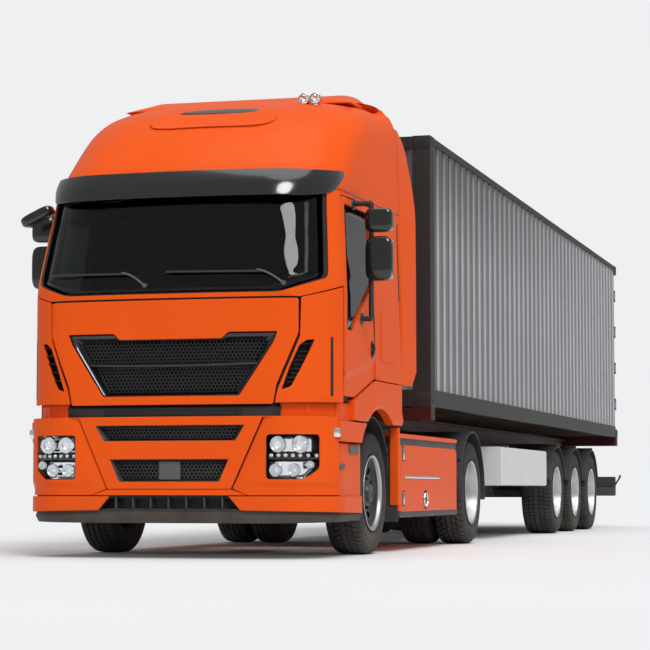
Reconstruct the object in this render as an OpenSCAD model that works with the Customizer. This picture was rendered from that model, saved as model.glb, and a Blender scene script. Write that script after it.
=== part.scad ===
// Articulated container lorry: a two-axle cab-over tractor unit and a three-axle
// container semi-trailer, hinged at the kingpin. Millimetres, +Z up, front towards -Y,
// the vehicle's left side at +X. Stations along the vehicle count backwards from a plane just
// behind the bumper's nose.

/* [Wheels] */
// Outer diameter of the tyres
tyre_d = 980; // [940:5:1010]
// Width of a tractor tyre
tyre_w = 300; // [280:5:320]
// Width of a trailer tyre
trailer_tyre_w = 370; // [340:5:390]
// Diameter of the bead seat of the rims
rim_d = 572; // [560:2:580]
// Thickness of a tyre's wall and tread
tyre_wall = 34; // [24:1:44]

/* [Tractor] */
// Station of the front axle
front_axle_at = 1400; // [1380:5:1420]
// Distance between the tractor's axles
wheelbase = 3700; // [3660:10:3800]
// Distance between the middle planes of the front wheels
front_track = 2060; // [2040:5:2080]
// Distance between the middle planes of the outer drive wheels
drive_track = 2170; // [2150:5:2180]
// Distance between the middle planes of twin wheels
twin_pitch = 340; // [334:2:350]
// Outer width of the tractor's ladder frame
frame_w = 820; // [780:5:840]
// Height of a frame rail
rail_h = 270; // [240:5:290]
// Height of the frame's top above the ground
frame_top = 930; // [915:5:940]
// Wall of a frame rail
rail_wall = 10; // [7:1:14]
// Distance from the drive axle forward to the kingpin
fifth_wheel_lead = 500; // [450:10:560]
// Height of the fifth wheel's top
fifth_wheel_top = 1100; // [1095:1:1108]

/* [Cab] */
// Width of the cab
cab_w = 2490; // [2460:5:2500]
// Station of the cab's back wall
cab_back_at = 2150; // [2120:5:2200]
// Station of the middle of the cab's front
cab_front_at = -175; // [-180:1:-170]
// Distance of the bumper's nose ahead of station zero
nose = 200; // [195:1:210]
// Height of the lower edge of the cab's corner panels
cab_low = 1104; // [1100:1:1112]
// Height of the windscreen's lower edge
belt_h = 1985; // [1960:5:2010]
// Height of the top of the cab's walls
header_h = 2810; // [2790:5:2830]
// Height of the roof's crown
roof_h = 3720; // [3690:5:3740]
// Thickness of the cab's walls and doors
cab_wall = 60; // [50:1:66]
// Thickness of the glass
glass_t = 10; // [6:1:14]
// Station of the door's rear edge
door_back_at = 1240; // [1200:5:1280]
// Radius of the front wheel arch
arch_r = 640; // [630:1:655]

/* [Semi-trailer] */
// Station of the container's front
container_at = 3360; // [3330:5:3400]
// Length of the container
container_len = 12192; // [12000:6:12192]
// Width of the container
container_w = 2438; // [2400:1:2438]
// Height of the container
container_h = 2438; // [2400:1:2591]
// Height of the container's underside
container_low = 1244; // [1240:1:1256]
// Pitch of the corrugations of the container's sides
corrugation = 278; // [240:2:300]
// Depth of the corrugations
corrugation_depth = 36; // [24:1:40]
// Distance from the container's front to the first trailer axle
trailer_axle_lead = 7000; // [6900:10:7100]
// Distance between trailer axles
trailer_axle_pitch = 1380; // [1310:5:1400]
// Distance between the middle planes of the trailer wheels
trailer_track = 2050; // [2040:2:2060]

/* [Hidden] */
$fn = 48;

// General clearances and the overrun of cuts
cut = 20;
seat_gap = 0.3;
panel_gap = 8;
bearing_gap = 0.1;

// Colours
paint = "OrangeRed";
plastic = "DarkSlateGray";
steel = "DimGray";
dark_red = "Maroon";
silver = "Silver";
clear = "SteelBlue";

// Derived stations and levels
tail_room = 30;
overall_len = nose + container_at + container_len + tail_room;
tyre_r = tyre_d / 2;
rim_r = rim_d / 2;
drive_axle_at = front_axle_at + wheelbase;
kingpin_at = drive_axle_at - fifth_wheel_lead;
container_back = container_at + container_len;
container_top = container_low + container_h;
half_cab = cab_w / 2;
half_box = container_w / 2;
rail_y = frame_w / 2;

module place() translate([0, nose - overall_len / 2, 0]) children();
module both_sides() {
  children();
  mirror([1, 0, 0]) children();
}
// Outline drawn as (station, height), carried across the vehicle from x0 to x1
module side_prism(x0, x1) translate([x0, 0, 0]) rotate([90, 0, 90]) linear_extrude(x1 - x0) children();
// Outline drawn as (across, height), carried along the vehicle from y0 to y1
module front_prism(y0, y1) translate([0, y1, 0]) rotate([90, 0, 0]) linear_extrude(y1 - y0) children();
// Outline drawn as (across, station), carried upwards from z0 to z1
module plan_prism(z0, z1) translate([0, 0, z0]) linear_extrude(z1 - z0) children();
module bar(x0, x1, y0, y1, z0, z1) translate([x0, y0, z0]) cube([x1 - x0, y1 - y0, z1 - z0]);
module cross_rod(r, x0, x1) translate([x0, 0, 0]) rotate([0, 90, 0]) cylinder(r = r, h = x1 - x0);
module along_rod(r, y0, y1) translate([0, y0, 0]) rotate([-90, 0, 0]) cylinder(r = r, h = y1 - y0);
// Rectangle with round corners from (a0, b0) to (a1, b1)
module round_box(a0, b0, a1, b1, r) {
  translate([a0 + r, b0]) square([a1 - a0 - 2 * r, b1 - b0]);
  translate([a0, b0 + r]) square([a1 - a0, b1 - b0 - 2 * r]);
  for (a = [a0 + r, a1 - r], b = [b0 + r, b1 - r]) translate([a, b]) circle(r = r);
}

// Lofts through sections with equal point counts, listed anticlockwise from below to above
function loft_faces(n, m) = concat(
  [[for (i = [0:n - 1]) i]],
  [for (k = [0:m - 2], i = [0:n - 1]) each [
    [k * n + i, (k + 1) * n + i, (k + 1) * n + (i + 1) % n],
    [k * n + i, (k + 1) * n + (i + 1) % n, k * n + (i + 1) % n]
  ]],
  [[for (i = [n - 1:-1:0]) (m - 1) * n + i]]
);
module loft(sections) {
  n = len(sections[0]);
  polyhedron(points = [for (s = sections) each s], faces = loft_faces(n, len(sections)), convexity = 10);
}

// Plan outline of the cab: a bowed front, round front corners that carry on from the bow's
// slope, straight sides and a flat back
corner_steps = 7;
front_steps = 6;
function bow_turn(flat, bow) = atan(2 * bow / flat);
function corner_r(flat, bow, r) = r / (1 - sin(bow_turn(flat, bow)));
function corner_point(w, front, bow, r, i) = let (
  a0 = bow_turn(w - r, bow), a = a0 + (90 - a0) * i / corner_steps, big = corner_r(w - r, bow, r)
) [w - r + big * (sin(a) - sin(a0)), front + bow + big * (cos(a0) - cos(a))];
function cab_outline(w, front, bow, r, back, z, flare = 0) = concat(
  [[-w - flare, back, z]],
  [for (i = [corner_steps:-1:0]) let (p = corner_point(w, front, bow, r, i)) [-p[0], p[1], z]],
  [for (i = [1:front_steps - 1]) let (x = -(w - r) + 2 * (w - r) * i / front_steps)
    [x, front + bow * pow(x / (w - r), 2), z]],
  [for (i = [0:corner_steps]) let (p = corner_point(w, front, bow, r, i)) [p[0], p[1], z]],
  [[w + flare, back, z]]
);

// Cab walls. Columns: height between the lower edge and the header, half width and
// setback of the front as shares of half the cab's width, then bow, corner radius and
// widening towards the back likewise
cab_section_shares = [
  [0.000, 1.000, 0.000, 0.030, 0.350, 0.000],
  [0.516, 1.000, 0.000, 0.030, 0.350, 0.000],
  [0.760, 0.972, 0.062, 0.034, 0.352, 0.016],
  [1.000, 0.940, 0.140, 0.040, 0.358, 0.042]
];
// Roof. Columns as above, the height between the header and the crown
roof_section_shares = [
  [0.00, 0.940, 0.140, 0.040, 0.358, 0.042],
  [0.16, 0.940, 0.225, 0.036, 0.410, 0.040],
  [0.38, 0.940, 0.380, 0.036, 0.455, 0.036],
  [0.60, 0.936, 0.570, 0.036, 0.480, 0.034],
  [0.78, 0.912, 0.790, 0.034, 0.485, 0.040],
  [0.91, 0.850, 1.060, 0.030, 0.465, 0.064],
  [0.98, 0.770, 1.310, 0.020, 0.430, 0.100],
  [1.00, 0.845, 1.400, 0.020, 0.340, 0.000]
];
function cab_rows(shares, z0, z1, inset) = [for (s = shares)
  cab_outline(
    half_cab * s[1] - inset, cab_front_at + half_cab * s[2] + inset, half_cab * s[3],
    half_cab * s[4] - inset / 2, cab_back_at - inset, z0 + (z1 - z0) * s[0], half_cab * s[5]
  )
];
// Half width of the cab's back at a height, from either table
function back_half(z) = half_cab * (z > header_h
  ? lookup((z - header_h) / (roof_h - header_h), [for (s = roof_section_shares) [s[0], s[1] + s[5]]])
  : lookup((z - cab_low) / (header_h - cab_low), [for (s = cab_section_shares) [s[0], s[1] + s[5]]]));
module cab_body(inset) loft(cab_rows(cab_section_shares, cab_low, header_h, inset));
module roof_body(inset) loft(cab_rows(roof_section_shares, header_h, roof_h - inset, inset));

// Doors: outline in station and height. The lower edge rises towards the wheel arch
door_front_at = 262;
door_front_top_at = 450;
door_low_front = 1215;
door_low_back = 1395;
door_top_drop = 35;
door_top = header_h - door_top_drop;
door_ramp_at = 560;
module door_outline(gap) polygon([
  [door_front_at + gap, door_low_front + gap],
  [door_ramp_at, door_low_front + gap],
  [door_back_at - gap, door_low_back + gap],
  [door_back_at - gap, door_top - gap],
  [door_front_top_at + gap, door_top - gap],
  [door_front_at + gap, belt_h]
]);
// Door window: a deep front dip, then a sill that climbs to the rear
window_front_at = 330;
window_front_top_at = 505;
window_dip_back = 470;
window_dip_drop = 260;
window_dip = belt_h - window_dip_drop;
window_sill_rise = 180;
window_sill = belt_h + window_sill_rise;
window_top_drop = 60;
window_top = door_top - window_top_drop;
window_frame = 45;
module window_outline() polygon([
  [window_front_at, window_dip],
  [window_dip_back, window_dip],
  [door_back_at - window_frame, window_sill],
  [door_back_at - window_frame, window_top],
  [window_front_top_at, window_top],
  [window_front_at, belt_h]
]);
// Windscreen: outline in across and height, with its lower corners cut off
screen_half_low = 1150;
screen_half_top = 1085;
screen_half_foot = 840;
screen_corner_rise = 120;
screen_corner_h = belt_h + screen_corner_rise;
screen_top_drop = 40;
screen_top = header_h - screen_top_drop;
screen_depth = 560;
module screen_outline() polygon([
  [-screen_half_foot, belt_h], [screen_half_foot, belt_h], [screen_half_low, screen_corner_h],
  [screen_half_top, screen_top], [-screen_half_top, screen_top], [-screen_half_low, screen_corner_h]
]);
// Front flap: the panel between the corner panels, below the windscreen
flap_half = 990;
flap_rise_share = 4;
flap_half_knee = 830;
flap_half_foot = 805;
flap_knee = 1260;
flap_low = 1146;
flap_top_drop = 40;
flap_top = belt_h - flap_top_drop;
flap_cheek_h = 295;
flap_shoulder = flap_top - flap_cheek_h;
module flap_outline(gap) polygon([
  [-flap_half_foot + gap, flap_low], [flap_half_foot - gap, flap_low],
      [flap_half_knee - gap, flap_knee + flap_rise_share * gap],
  [flap_half - gap, flap_shoulder + flap_rise_share * gap], [flap_half - gap, flap_top - gap],
  [-flap_half + gap, flap_top - gap], [-flap_half + gap, flap_shoulder + flap_rise_share * gap],
  [-flap_half_knee + gap, flap_knee + flap_rise_share * gap]
]);
// Grille opening in the flap: wide at the top, drawn in at the foot
grille_half_top = 830;
grille_half_low = 555;
grille_low = 1212;
grille_top_drop = 255;
grille_top = flap_top - grille_top_drop;
grille_step_half = 450;
grille_step_drop = 50;
grille_step_h = grille_top - grille_step_drop;
module grille_outline() polygon([
  [-grille_half_low, grille_low], [grille_half_low, grille_low], [grille_half_top, grille_top],
  [grille_step_half, grille_top], [grille_step_half - (grille_top - grille_step_h), grille_step_h],
  [-grille_step_half + (grille_top - grille_step_h), grille_step_h], [-grille_step_half, grille_top],
  [-grille_half_top, grille_top]
]);

module shell_layer(inset0, inset1) difference() {
  cab_body(inset0);
  translate([0, 0, -cut]) scale_free_core(inset1);
}
// The core runs past both ends of the walls so that the layer is open above and below
module scale_free_core(inset) {
  loft(concat(
    [for (p = [cab_rows(cab_section_shares, cab_low, header_h, inset)[0]]) [for (v = p) [v[0], v[1],
        v[2] - cut]]],
    cab_rows(cab_section_shares, cab_low, header_h, inset),
    [for (p = [cab_rows(cab_section_shares, cab_low, header_h, inset)[3]]) [for (v = p) [v[0], v[1],
        v[2] + 4 * cut]]]
  ));
}
flap_depth = 300;
module cab_shell() color(paint) {
  difference() {
    shell_layer(0, cab_wall);
    front_prism(-nose - cut, screen_depth) screen_outline();
    front_prism(-nose - cut, flap_depth) flap_outline(0);
    both_sides() {
      side_prism(half_cab / 2, half_cab + cut) door_outline(0);
      side_prism(half_cab - fender_t - seat_gap, half_cab + cut) polygon([
        [fender_front_at - seat_gap, cab_low - cut], [cab_back_at + cut, cab_low - cut],
        [cab_back_at + cut, fender_top_back + seat_gap], [door_back_at, fender_top_back + seat_gap],
        [fender_front_at - seat_gap, fender_top_front + seat_gap]
      ]);
      for (z = door_hinge_levels) translate([door_hinge_x, door_hinge_at, z - hinge_clear]) {
        cylinder(r = hinge_knuckle_r + hinge_clear, h = hinge_knuckle_h + 2 * hinge_clear);
        translate([0, 0, -hinge_knuckle_h]) cylinder(r = hinge_pin_r + seat_gap,
            h = hinge_knuckle_h + hinge_clear);
      }
    }
    translate([0, cab_front_at, flap_top]) cross_rod(hinge_pin_r + seat_gap, -flap_knuckle_out,
        flap_knuckle_out);
    bar(-half_cab, half_cab, cab_back_at - cab_wall - cut, cab_back_at + cut, cab_low - cut, floor_z);
    flap_knuckle_clear(flap_knuckle_in - hinge_clear, flap_knuckle_out + hinge_clear);
    mirror([1, 0, 0]) flap_knuckle_clear(flap_knuckle_in - hinge_clear, flap_knuckle_out + hinge_clear);
  }
  both_sides() for (z = door_hinge_levels) difference() {
    translate([door_hinge_x, door_hinge_at, z - hinge_knuckle_h - seat_gap]) union() {
      cylinder(r = hinge_knuckle_r, h = hinge_knuckle_h);
      bar(-hinge_web, 0, -hinge_web, 0, 0, hinge_knuckle_h);
    }
    translate([door_hinge_x, door_hinge_at, z - 2 * hinge_knuckle_h])
        cylinder(r = hinge_pin_r + seat_gap, h = 2 * hinge_knuckle_h);
  }
  difference() {
    translate([0, cab_front_at, flap_top]) {
      cross_rod(hinge_knuckle_r, -flap_knuckle_in + hinge_clear, flap_knuckle_in - hinge_clear);
      bar(-flap_knuckle_in + hinge_clear, flap_knuckle_in - hinge_clear, 0, hinge_web, 0, hinge_web);
    }
    translate([0, cab_front_at, flap_top]) cross_rod(hinge_pin_r + seat_gap, -flap_knuckle_out,
        flap_knuckle_out);
  }
}
// Hinges of the doors and of the front flap
door_hinge_x = 1226;
door_hinge_at = 258;
door_hinge_shares = [41 / 154, 129 / 154];
door_hinge_levels = [for (s = door_hinge_shares) door_low_front + (belt_h - door_low_front) * s];
hinge_knuckle_r = 12;
hinge_knuckle_h = 60;
hinge_pin_r = 6;
hinge_web = 24;
hinge_clear = 4;
flap_knuckle_in = 60;
flap_knuckle_out = 140;
module flap_knuckle_clear(x0, x1) translate([0, cab_front_at, flap_top])
    cross_rod(hinge_knuckle_r + hinge_clear, x0, x1);

// Floor of the cab, with its back edge on the back wall
floor_t = 50;
floor_front_at = 10;
floor_wide_at = 420;
floor_nose_half = 1000;
module cab_floor() color(plastic) {
  intersection() {
    cab_body(cab_wall + seat_gap);
    union() {
      bar(-half_floor, half_floor, floor_wide_at, cab_back_at, floor_z, floor_z + floor_t);
      bar(-floor_nose_half, floor_nose_half, floor_front_at, cab_back_at, floor_z, floor_z + floor_t);
    }
  }
  both_sides() side_prism(tilt_arm_in, tilt_arm_in + tilt_arm_t) difference() {
    union() {
      translate([tilt_at, tilt_z]) circle(r = tilt_eye_r);
      polygon([
        [tilt_at, tilt_z - tilt_eye_r], [tilt_neck_at + tilt_eye_r, tilt_z - tilt_eye_r],
        [tilt_neck_at + 2 * tilt_eye_r, tilt_z + tilt_eye_r], [tilt_neck_at + 2 * tilt_eye_r, floor_z],
        [tilt_neck_at, floor_z], [tilt_neck_at, tilt_z + 2 * tilt_eye_r], [tilt_at, tilt_z + tilt_eye_r]
      ]);
    }
    translate([tilt_at, tilt_z]) circle(r = tilt_pin_r + seat_gap);
  }
}
// Tilting joint of the cab: swan-necked arms under the floor on pins of the frame
tilt_at = -44;
tilt_z = 800;
tilt_pin_r = 25;
tilt_eye_r = 50;
tilt_arm_in = 430;
tilt_arm_t = 45;
tilt_neck_at = 380;
floor_z = 1300;

// Fenders over the front wheels, below the doors
fender_front_at = 560;
fender_top_front = 1200;
fender_top_back = 1380;
fender_t = 70;
half_floor = half_cab - fender_t - seat_gap;
module front_fenders() color(paint) both_sides() side_prism(half_cab - fender_t, half_cab) difference() {
  polygon([
    [fender_front_at, cab_low], [cab_back_at, cab_low], [cab_back_at, fender_top_back],
    [door_back_at, fender_top_back], [fender_front_at, fender_top_front]
  ]);
  translate([front_axle_at, tyre_r]) circle(r = arch_r);
}

// Roof, with a raised lip at its back that leads the air over the container
hump_front_at = 1500;
hump_knee_at = 1900;
hump_sink = 55;
hump_foot = roof_h - hump_sink;
hump_knee_rise = 100;
hump_knee_h = roof_h + hump_knee_rise;
hump_rise = 130;
hump_top = roof_h + hump_rise;
hump_half = 900;
hump_half_foot = 975;
module cab_roof() color(paint) {
  difference() {
    roof_body(0);
    translate([0, 0, -cut]) roof_body(cab_wall);
  }
  intersection() {
    side_prism(-half_cab, half_cab) polygon([
      [hump_front_at, hump_foot], [cab_back_at, hump_foot], [cab_back_at, hump_top],
      [hump_knee_at, hump_knee_h], [hump_front_at, roof_h - cut]
    ]);
    front_prism(0, cab_back_at + cut) polygon([
      [-hump_half_foot, hump_foot - cut], [hump_half_foot, hump_foot - cut], [hump_half, hump_top + cut],
      [-hump_half, hump_top + cut]
    ]);
  }
}

glass_inset = 14;
module windscreen() color(clear) intersection() {
  shell_layer(glass_inset, glass_inset + glass_t);
  front_prism(-nose - cut, screen_depth) screen_outline();
}

module door() color(paint) difference() {
  intersection() {
    shell_layer(0, cab_wall);
    side_prism(half_cab / 2, half_cab + cut) door_outline(panel_gap);
  }
  side_prism(half_cab / 2, half_cab + cut) window_outline();
  for (z = door_hinge_levels) translate([door_hinge_x, door_hinge_at, z - hinge_knuckle_h - hinge_clear])
    cylinder(r = hinge_web + hinge_clear, h = hinge_knuckle_h + hinge_clear - seat_gap);
}
module door_hinges() color(paint) for (z = door_hinge_levels) translate([door_hinge_x, door_hinge_at, z]) {
  cylinder(r = hinge_knuckle_r, h = hinge_knuckle_h);
  bar(-hinge_web, 0, 2 * hinge_clear, hinge_web, 0, hinge_knuckle_h);
  translate([0, 0, -hinge_knuckle_h]) cylinder(r = hinge_pin_r, h = 2 * hinge_knuckle_h);
}
module hung_door() {
  door();
  door_hinges();
}
module door_glass() color(clear) intersection() {
  shell_layer(glass_inset, glass_inset + glass_t);
  side_prism(half_cab / 2, half_cab + cut) window_outline();
}

// Main and wide-angle mirrors on a column that stands off the door
mirror_at = 700;
mirror_depth = 130;
mirror_in = 1285;
mirror_out = 1500;
mirror_heads = [[2130, 2480], [2510, 2700]];
mirror_round = 40;
mirror_arm_r = 22;
mirror_arm_drop = 145;
mirror_arm_top_drop = 34;
mirror_arm_levels = [belt_h - mirror_arm_drop, door_top - mirror_arm_top_drop];
module mirrors() color(plastic) {
  for (h = mirror_heads) front_prism(mirror_at, mirror_at + mirror_depth)
    round_box(mirror_in, h[0], mirror_out, h[1], mirror_round);
  translate([mirror_in + mirror_round, mirror_at + mirror_depth / 2, mirror_arm_levels[0]])
    cylinder(r = mirror_arm_r, h = mirror_arm_levels[1] - mirror_arm_levels[0]);
  difference() {
    for (z = mirror_arm_levels) translate([0, mirror_at + mirror_depth / 2, z])
      cross_rod(mirror_arm_r, half_cab - 2 * cab_wall, mirror_in + mirror_round);
    cab_body(-seat_gap);
  }
}

module front_flap() color(paint) {
  difference() {
    intersection() {
      shell_layer(0, cab_wall);
      front_prism(-nose - cut, flap_depth) flap_outline(panel_gap);
    }
    front_prism(-nose - cut, flap_depth) grille_outline();
    flap_knuckle_clear(-flap_knuckle_in, flap_knuckle_in);
  }
  translate([0, cab_front_at, flap_top]) {
    both_sides() {
      cross_rod(hinge_knuckle_r, flap_knuckle_in, flap_knuckle_out);
      bar(flap_knuckle_in, flap_knuckle_out, 0, hinge_web, -hinge_web, 0);
    }
    cross_rod(hinge_pin_r, -flap_knuckle_in, flap_knuckle_in);
  }
}
// Grille: a dark surround with a middle blade and upright bars
grille_inset = 12;
grille_t = 36;
grille_bar_w = 10;
grille_bar_pitch = 60;
grille_blade_h = 26;
grille_blade_lift = 12;
grille_blade_at = (grille_low + grille_top - grille_blade_h) / 2 + grille_blade_lift;
grille_rim = 30;
module grille() color(plastic) intersection() {
  shell_layer(grille_inset, grille_inset + grille_t);
  front_prism(-nose - cut, flap_depth) intersection() {
    grille_outline();
    union() {
      difference() {
        grille_outline();
        translate([0, grille_rim]) scale_outline();
      }
      for (x = [-grille_half_top:grille_bar_pitch:grille_half_top])
          translate([x - grille_bar_w / 2, grille_low])
        square([grille_bar_w, grille_top - grille_low]);
      translate([-grille_half_top, grille_blade_at]) square([2 * grille_half_top, grille_blade_h]);
    }
  }
}
module scale_outline() polygon([
  [-grille_half_low + grille_rim, grille_low], [grille_half_low - grille_rim, grille_low],
  [grille_half_top - 2 * grille_rim, grille_step_h - 2 * grille_rim],
  [-grille_half_top + 2 * grille_rim, grille_step_h - 2 * grille_rim]
]);

// Sun visor over the windscreen
visor_drop = 20;
visor_low = header_h - visor_drop;
visor_h = 150;
visor_reach = 120;
visor_t = 12;
module sun_visor() color(plastic) {
  difference() {
    visor_block(0);
    visor_block(visor_t);
    bar(-cab_w, cab_w, visor_reach_back, overall_len, 0, roof_h);
  }
  difference() {
    intersection() {
      visor_block(0);
      both_sides() {
        for (x = visor_stays) bar(x, x + 2 * visor_t, -cab_w, visor_reach_back, visor_low + visor_h / 4,
            visor_low + visor_h / 2);
        bar(half_cab / 2, half_cab, visor_reach_back - 4 * visor_t, visor_reach_back,
            visor_low + visor_h / 4, visor_low + visor_h / 2);
      }
    }
    roof_body(-seat_gap);
    cab_body(-seat_gap);
  }
}
visor_stays = [210, 720];
visor_reach_back = 430;
module visor_block(inset) loft([for (k = [0, 1]) cab_outline(
  half_cab * visor_half_share - inset, cab_front_at + half_cab * visor_set_shares[k] - visor_reach + inset,
  half_cab * visor_bow_share, half_cab * visor_corner_share - inset / 2,
      cab_back_at + (inset > 0 ? cut : 0),
  visor_low + visor_h * k + (inset > 0 ? (2 * k - 1) * cut : 0)
)]);
visor_half_share = 0.965;
visor_set_shares = [0.170, 0.232];
visor_bow_share = 0.030;
visor_corner_share = 0.365;

// Side deflectors behind the cab
deflector_t = 24;
deflector_len = 390;
deflector_low = 1386;
deflector_drop = 160;
deflector_top = roof_h - deflector_drop;
// Columns: height between the ends, length as a share of the full length, and half width
// of the trailing edge as a share of half the cab's width
deflector_shares = [
  [0.00, 0.70, 1.024], [0.06, 1.00, 1.026], [0.28, 1.00, 1.026], [0.47, 1.00, 1.025], [0.654, 1.00, 1.022],
  [0.70, 1.00, 1.018], [0.78, 0.96, 1.004], [0.91, 0.90, 0.964], [0.96, 0.80, 0.945], [1.00, 0.40, 0.936]
];
module side_deflectors() color(paint) both_sides() loft([for (s = deflector_shares)
  let (z = deflector_low + (deflector_top - deflector_low) * s[0], y = cab_back_at + deflector_len * s[1]) [
    [back_half(z) - deflector_t, cab_back_at, z], [back_half(z), cab_back_at, z],
    [back_half(z) + (half_cab * s[2] - back_half(z)) * s[1], y, z],
    [back_half(z) + (half_cab * s[2] - back_half(z)) * s[1] - deflector_t, y, z]
  ]]);

// Pair of round lamps on the roof
roof_lamp_r = 45;
roof_lamp_len = 110;
roof_lamp_at = 1190;
roof_lamp_x = 655;
roof_lamp_pitch = 94;
roof_lamp_foot = 26;
roof_lamp_drop = 200;
roof_lamp_share = 0.92;
roof_lamp_stand = 22.8;
roof_lamp_z = header_h + (roof_h - header_h) * roof_lamp_share + roof_lamp_stand;
module roof_lamps() color(silver) difference() {
  for (i = [0, 1]) translate([roof_lamp_x + i * roof_lamp_pitch, roof_lamp_at, roof_lamp_z]) {
    along_rod(roof_lamp_r, 0, roof_lamp_len);
    bar(-roof_lamp_foot, roof_lamp_foot, roof_lamp_r / 2, roof_lamp_len, -roof_lamp_drop, 0);
  }
  roof_body(-seat_gap);
}

// Inside of the cab
dash_front_at = 150;
dash_back_at = 680;
// Levels of the dashboard's shelf and top between the floor and the belt, and its rounding
dash_level_shares = [30 / 127, 122 / 127];
dash_nose_share = 6 / 23;
dash_foot = floor_z + floor_t;
dash_low = dash_foot + (belt_h - dash_foot) * dash_level_shares[0];
dash_top = dash_foot + (belt_h - dash_foot) * dash_level_shares[1];
dash_half = 1080;
dash_nose = (dash_top - dash_low) * dash_nose_share;
module dashboard() color(plastic) dash_body();
module dash_body() side_prism(-dash_half, dash_half) polygon([
  [dash_front_at, floor_z + floor_t], [dash_front_at + dash_nose, floor_z + floor_t],
      [dash_front_at + dash_nose, dash_low],
  [dash_back_at, dash_low + dash_nose], [dash_back_at, dash_top - dash_nose],
      [dash_back_at - dash_nose, dash_top],
  [dash_front_at + dash_nose, dash_top], [dash_front_at, dash_low]
]);
seat_x = 690;
seat_half = 250;
seat_at = 980;
seat_base_h = 360;
seat_len = 520;
seat_cushion = 130;
seat_back_h = 720;
seat_back_t = 120;
seat_round = 50;
seat_pedestal_in = 90;
module seats() color(steel) for (s = [-1, 1]) translate([s * seat_x, seat_at, floor_z + floor_t]) {
  bar(-seat_half + seat_pedestal_in, seat_half - seat_pedestal_in, seat_pedestal_in,
      seat_len - seat_pedestal_in,
    0, seat_base_h);
  side_prism(-seat_half, seat_half) {
    translate([0, seat_base_h]) round_box(0, 0, seat_len, seat_cushion, seat_round);
    translate([seat_len - seat_back_t, seat_base_h]) round_box(0, 0, seat_back_t, seat_back_h, seat_round);
  }
}
wheel_tilt = 32;
steering_r = 225;
steering_grip = 17;
steering_x = 690;
steering_at = 830;
steering_rise = 50;
steering_h = dash_top + steering_rise;
column_r = 34;
column_len = 330;
spoke_w = 46;
spoke_t = 20;
module steering_wheel() color(plastic) difference() {
  steering_body();
  dash_body();
}
module steering_body() translate([steering_x, steering_at, steering_h]) rotate([wheel_tilt - 90, 0, 0]) {
  rotate_extrude() translate([steering_r - steering_grip, 0]) circle(r = steering_grip);
  for (a = [0:120:240]) rotate([0, 0, a + 90]) translate([0, -spoke_w / 2, -spoke_t / 2])
    cube([steering_r - steering_grip, spoke_w, spoke_t]);
  translate([0, 0, -spoke_t]) cylinder(r = 2 * column_r, h = 2 * spoke_t);
  mirror([0, 0, 1]) cylinder(r = column_r, h = column_len);
}

// Tractor ladder frame: two channel rails and cross members
frame_front_at = 60;
frame_tail = 840;
frame_back_at = drive_axle_at + frame_tail;
cross_len = 120;
rail_flange = 85;
module tractor_frame() color(steel) {
  both_sides() difference() {
    bar(rail_y - rail_flange, rail_y, frame_front_at, frame_back_at, frame_top - rail_h, frame_top);
    bar(rail_y - rail_flange - cut, rail_y - rail_wall, frame_front_at - cut, frame_back_at + cut,
      frame_top - rail_h + rail_wall, frame_top - rail_wall);
  }
  for (y = concat([frame_front_at], cross_stations, [frame_back_at - cross_len]))
    bar(-rail_y + rail_wall, rail_y - rail_wall, y, y + cross_len, frame_top - rail_h + rail_wall,
        frame_top - rail_wall - cross_drop);
  intersection() {
    bar(-under_beam_half, under_beam_half, -nose, frame_front_at + cross_len / 2, under_beam_low,
        under_beam_low + under_beam_h);
    loft(bumper_rows(bumper_t + seat_gap, under_beam_low - cut, under_beam_low + under_beam_h + cut));
  }
  both_sides() {
    bar(rail_y - rail_flange, rail_y, frame_front_at, frame_front_at + cross_len, under_beam_low,
        frame_top - rail_h + rail_wall);
    bar(rail_y - rail_flange, rail_y, tilt_at - tilt_eye_r, frame_front_at + cross_len,
        tilt_z - tilt_eye_r, tilt_z + tilt_eye_r);
    translate([0, tilt_at, tilt_z]) cross_rod(tilt_pin_r, rail_y - rail_flange, tilt_arm_in + tilt_arm_t);
    bar(rail_y - rail_flange, rail_y, rest_at, rest_at + rest_len, frame_top - rail_wall,
        floor_z - seat_gap);
    for (y = skirt_hangers) bar(rail_y - rail_wall, skirt_in, y, y + cross_len, skirt_hanger_z,
        skirt_hanger_z + cross_len);
  }
  bar(-rail_y, rail_y, rest_at, rest_at + rest_len, floor_z - rest_len, floor_z - seat_gap);
}
cross_drop = 40;
cross_front_at = 2450;
cross_mid_at = 3400;
cross_lead = 600;
cross_tail = 320;
cross_stations = [cross_front_at, cross_mid_at, drive_axle_at - cross_lead, drive_axle_at + cross_tail];
under_beam_half = 1080;
under_beam_low = 490;
under_beam_h = 75;
rest_at = 1960;
rest_len = 80;
skirt_hanger_z = 720;

// Engine, clutch housing and gearbox as one plain mass between the rails
engine_half = 290;
engine_front_at = 520;
engine_len = 1250;
engine_low = 460;
engine_top = 1225;
gearbox_half = 210;
gearbox_len = 620;
gearbox_top = 880;
module engine_block() color(steel) {
  bar(-engine_half, engine_half, engine_front_at, engine_front_at + engine_len, engine_low, engine_top);
  bar(-gearbox_half, gearbox_half, engine_front_at + engine_len,
      engine_front_at + engine_len + gearbox_len, engine_low, gearbox_top);
  for (y = engine_feet) bar(-rail_y + rail_wall + seat_gap, rail_y - rail_wall - seat_gap, y,
      y + engine_foot, engine_foot_z, engine_foot_z + engine_foot);
}
engine_feet = [640, 1560];
engine_foot = 80;
engine_foot_z = 740;

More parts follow.
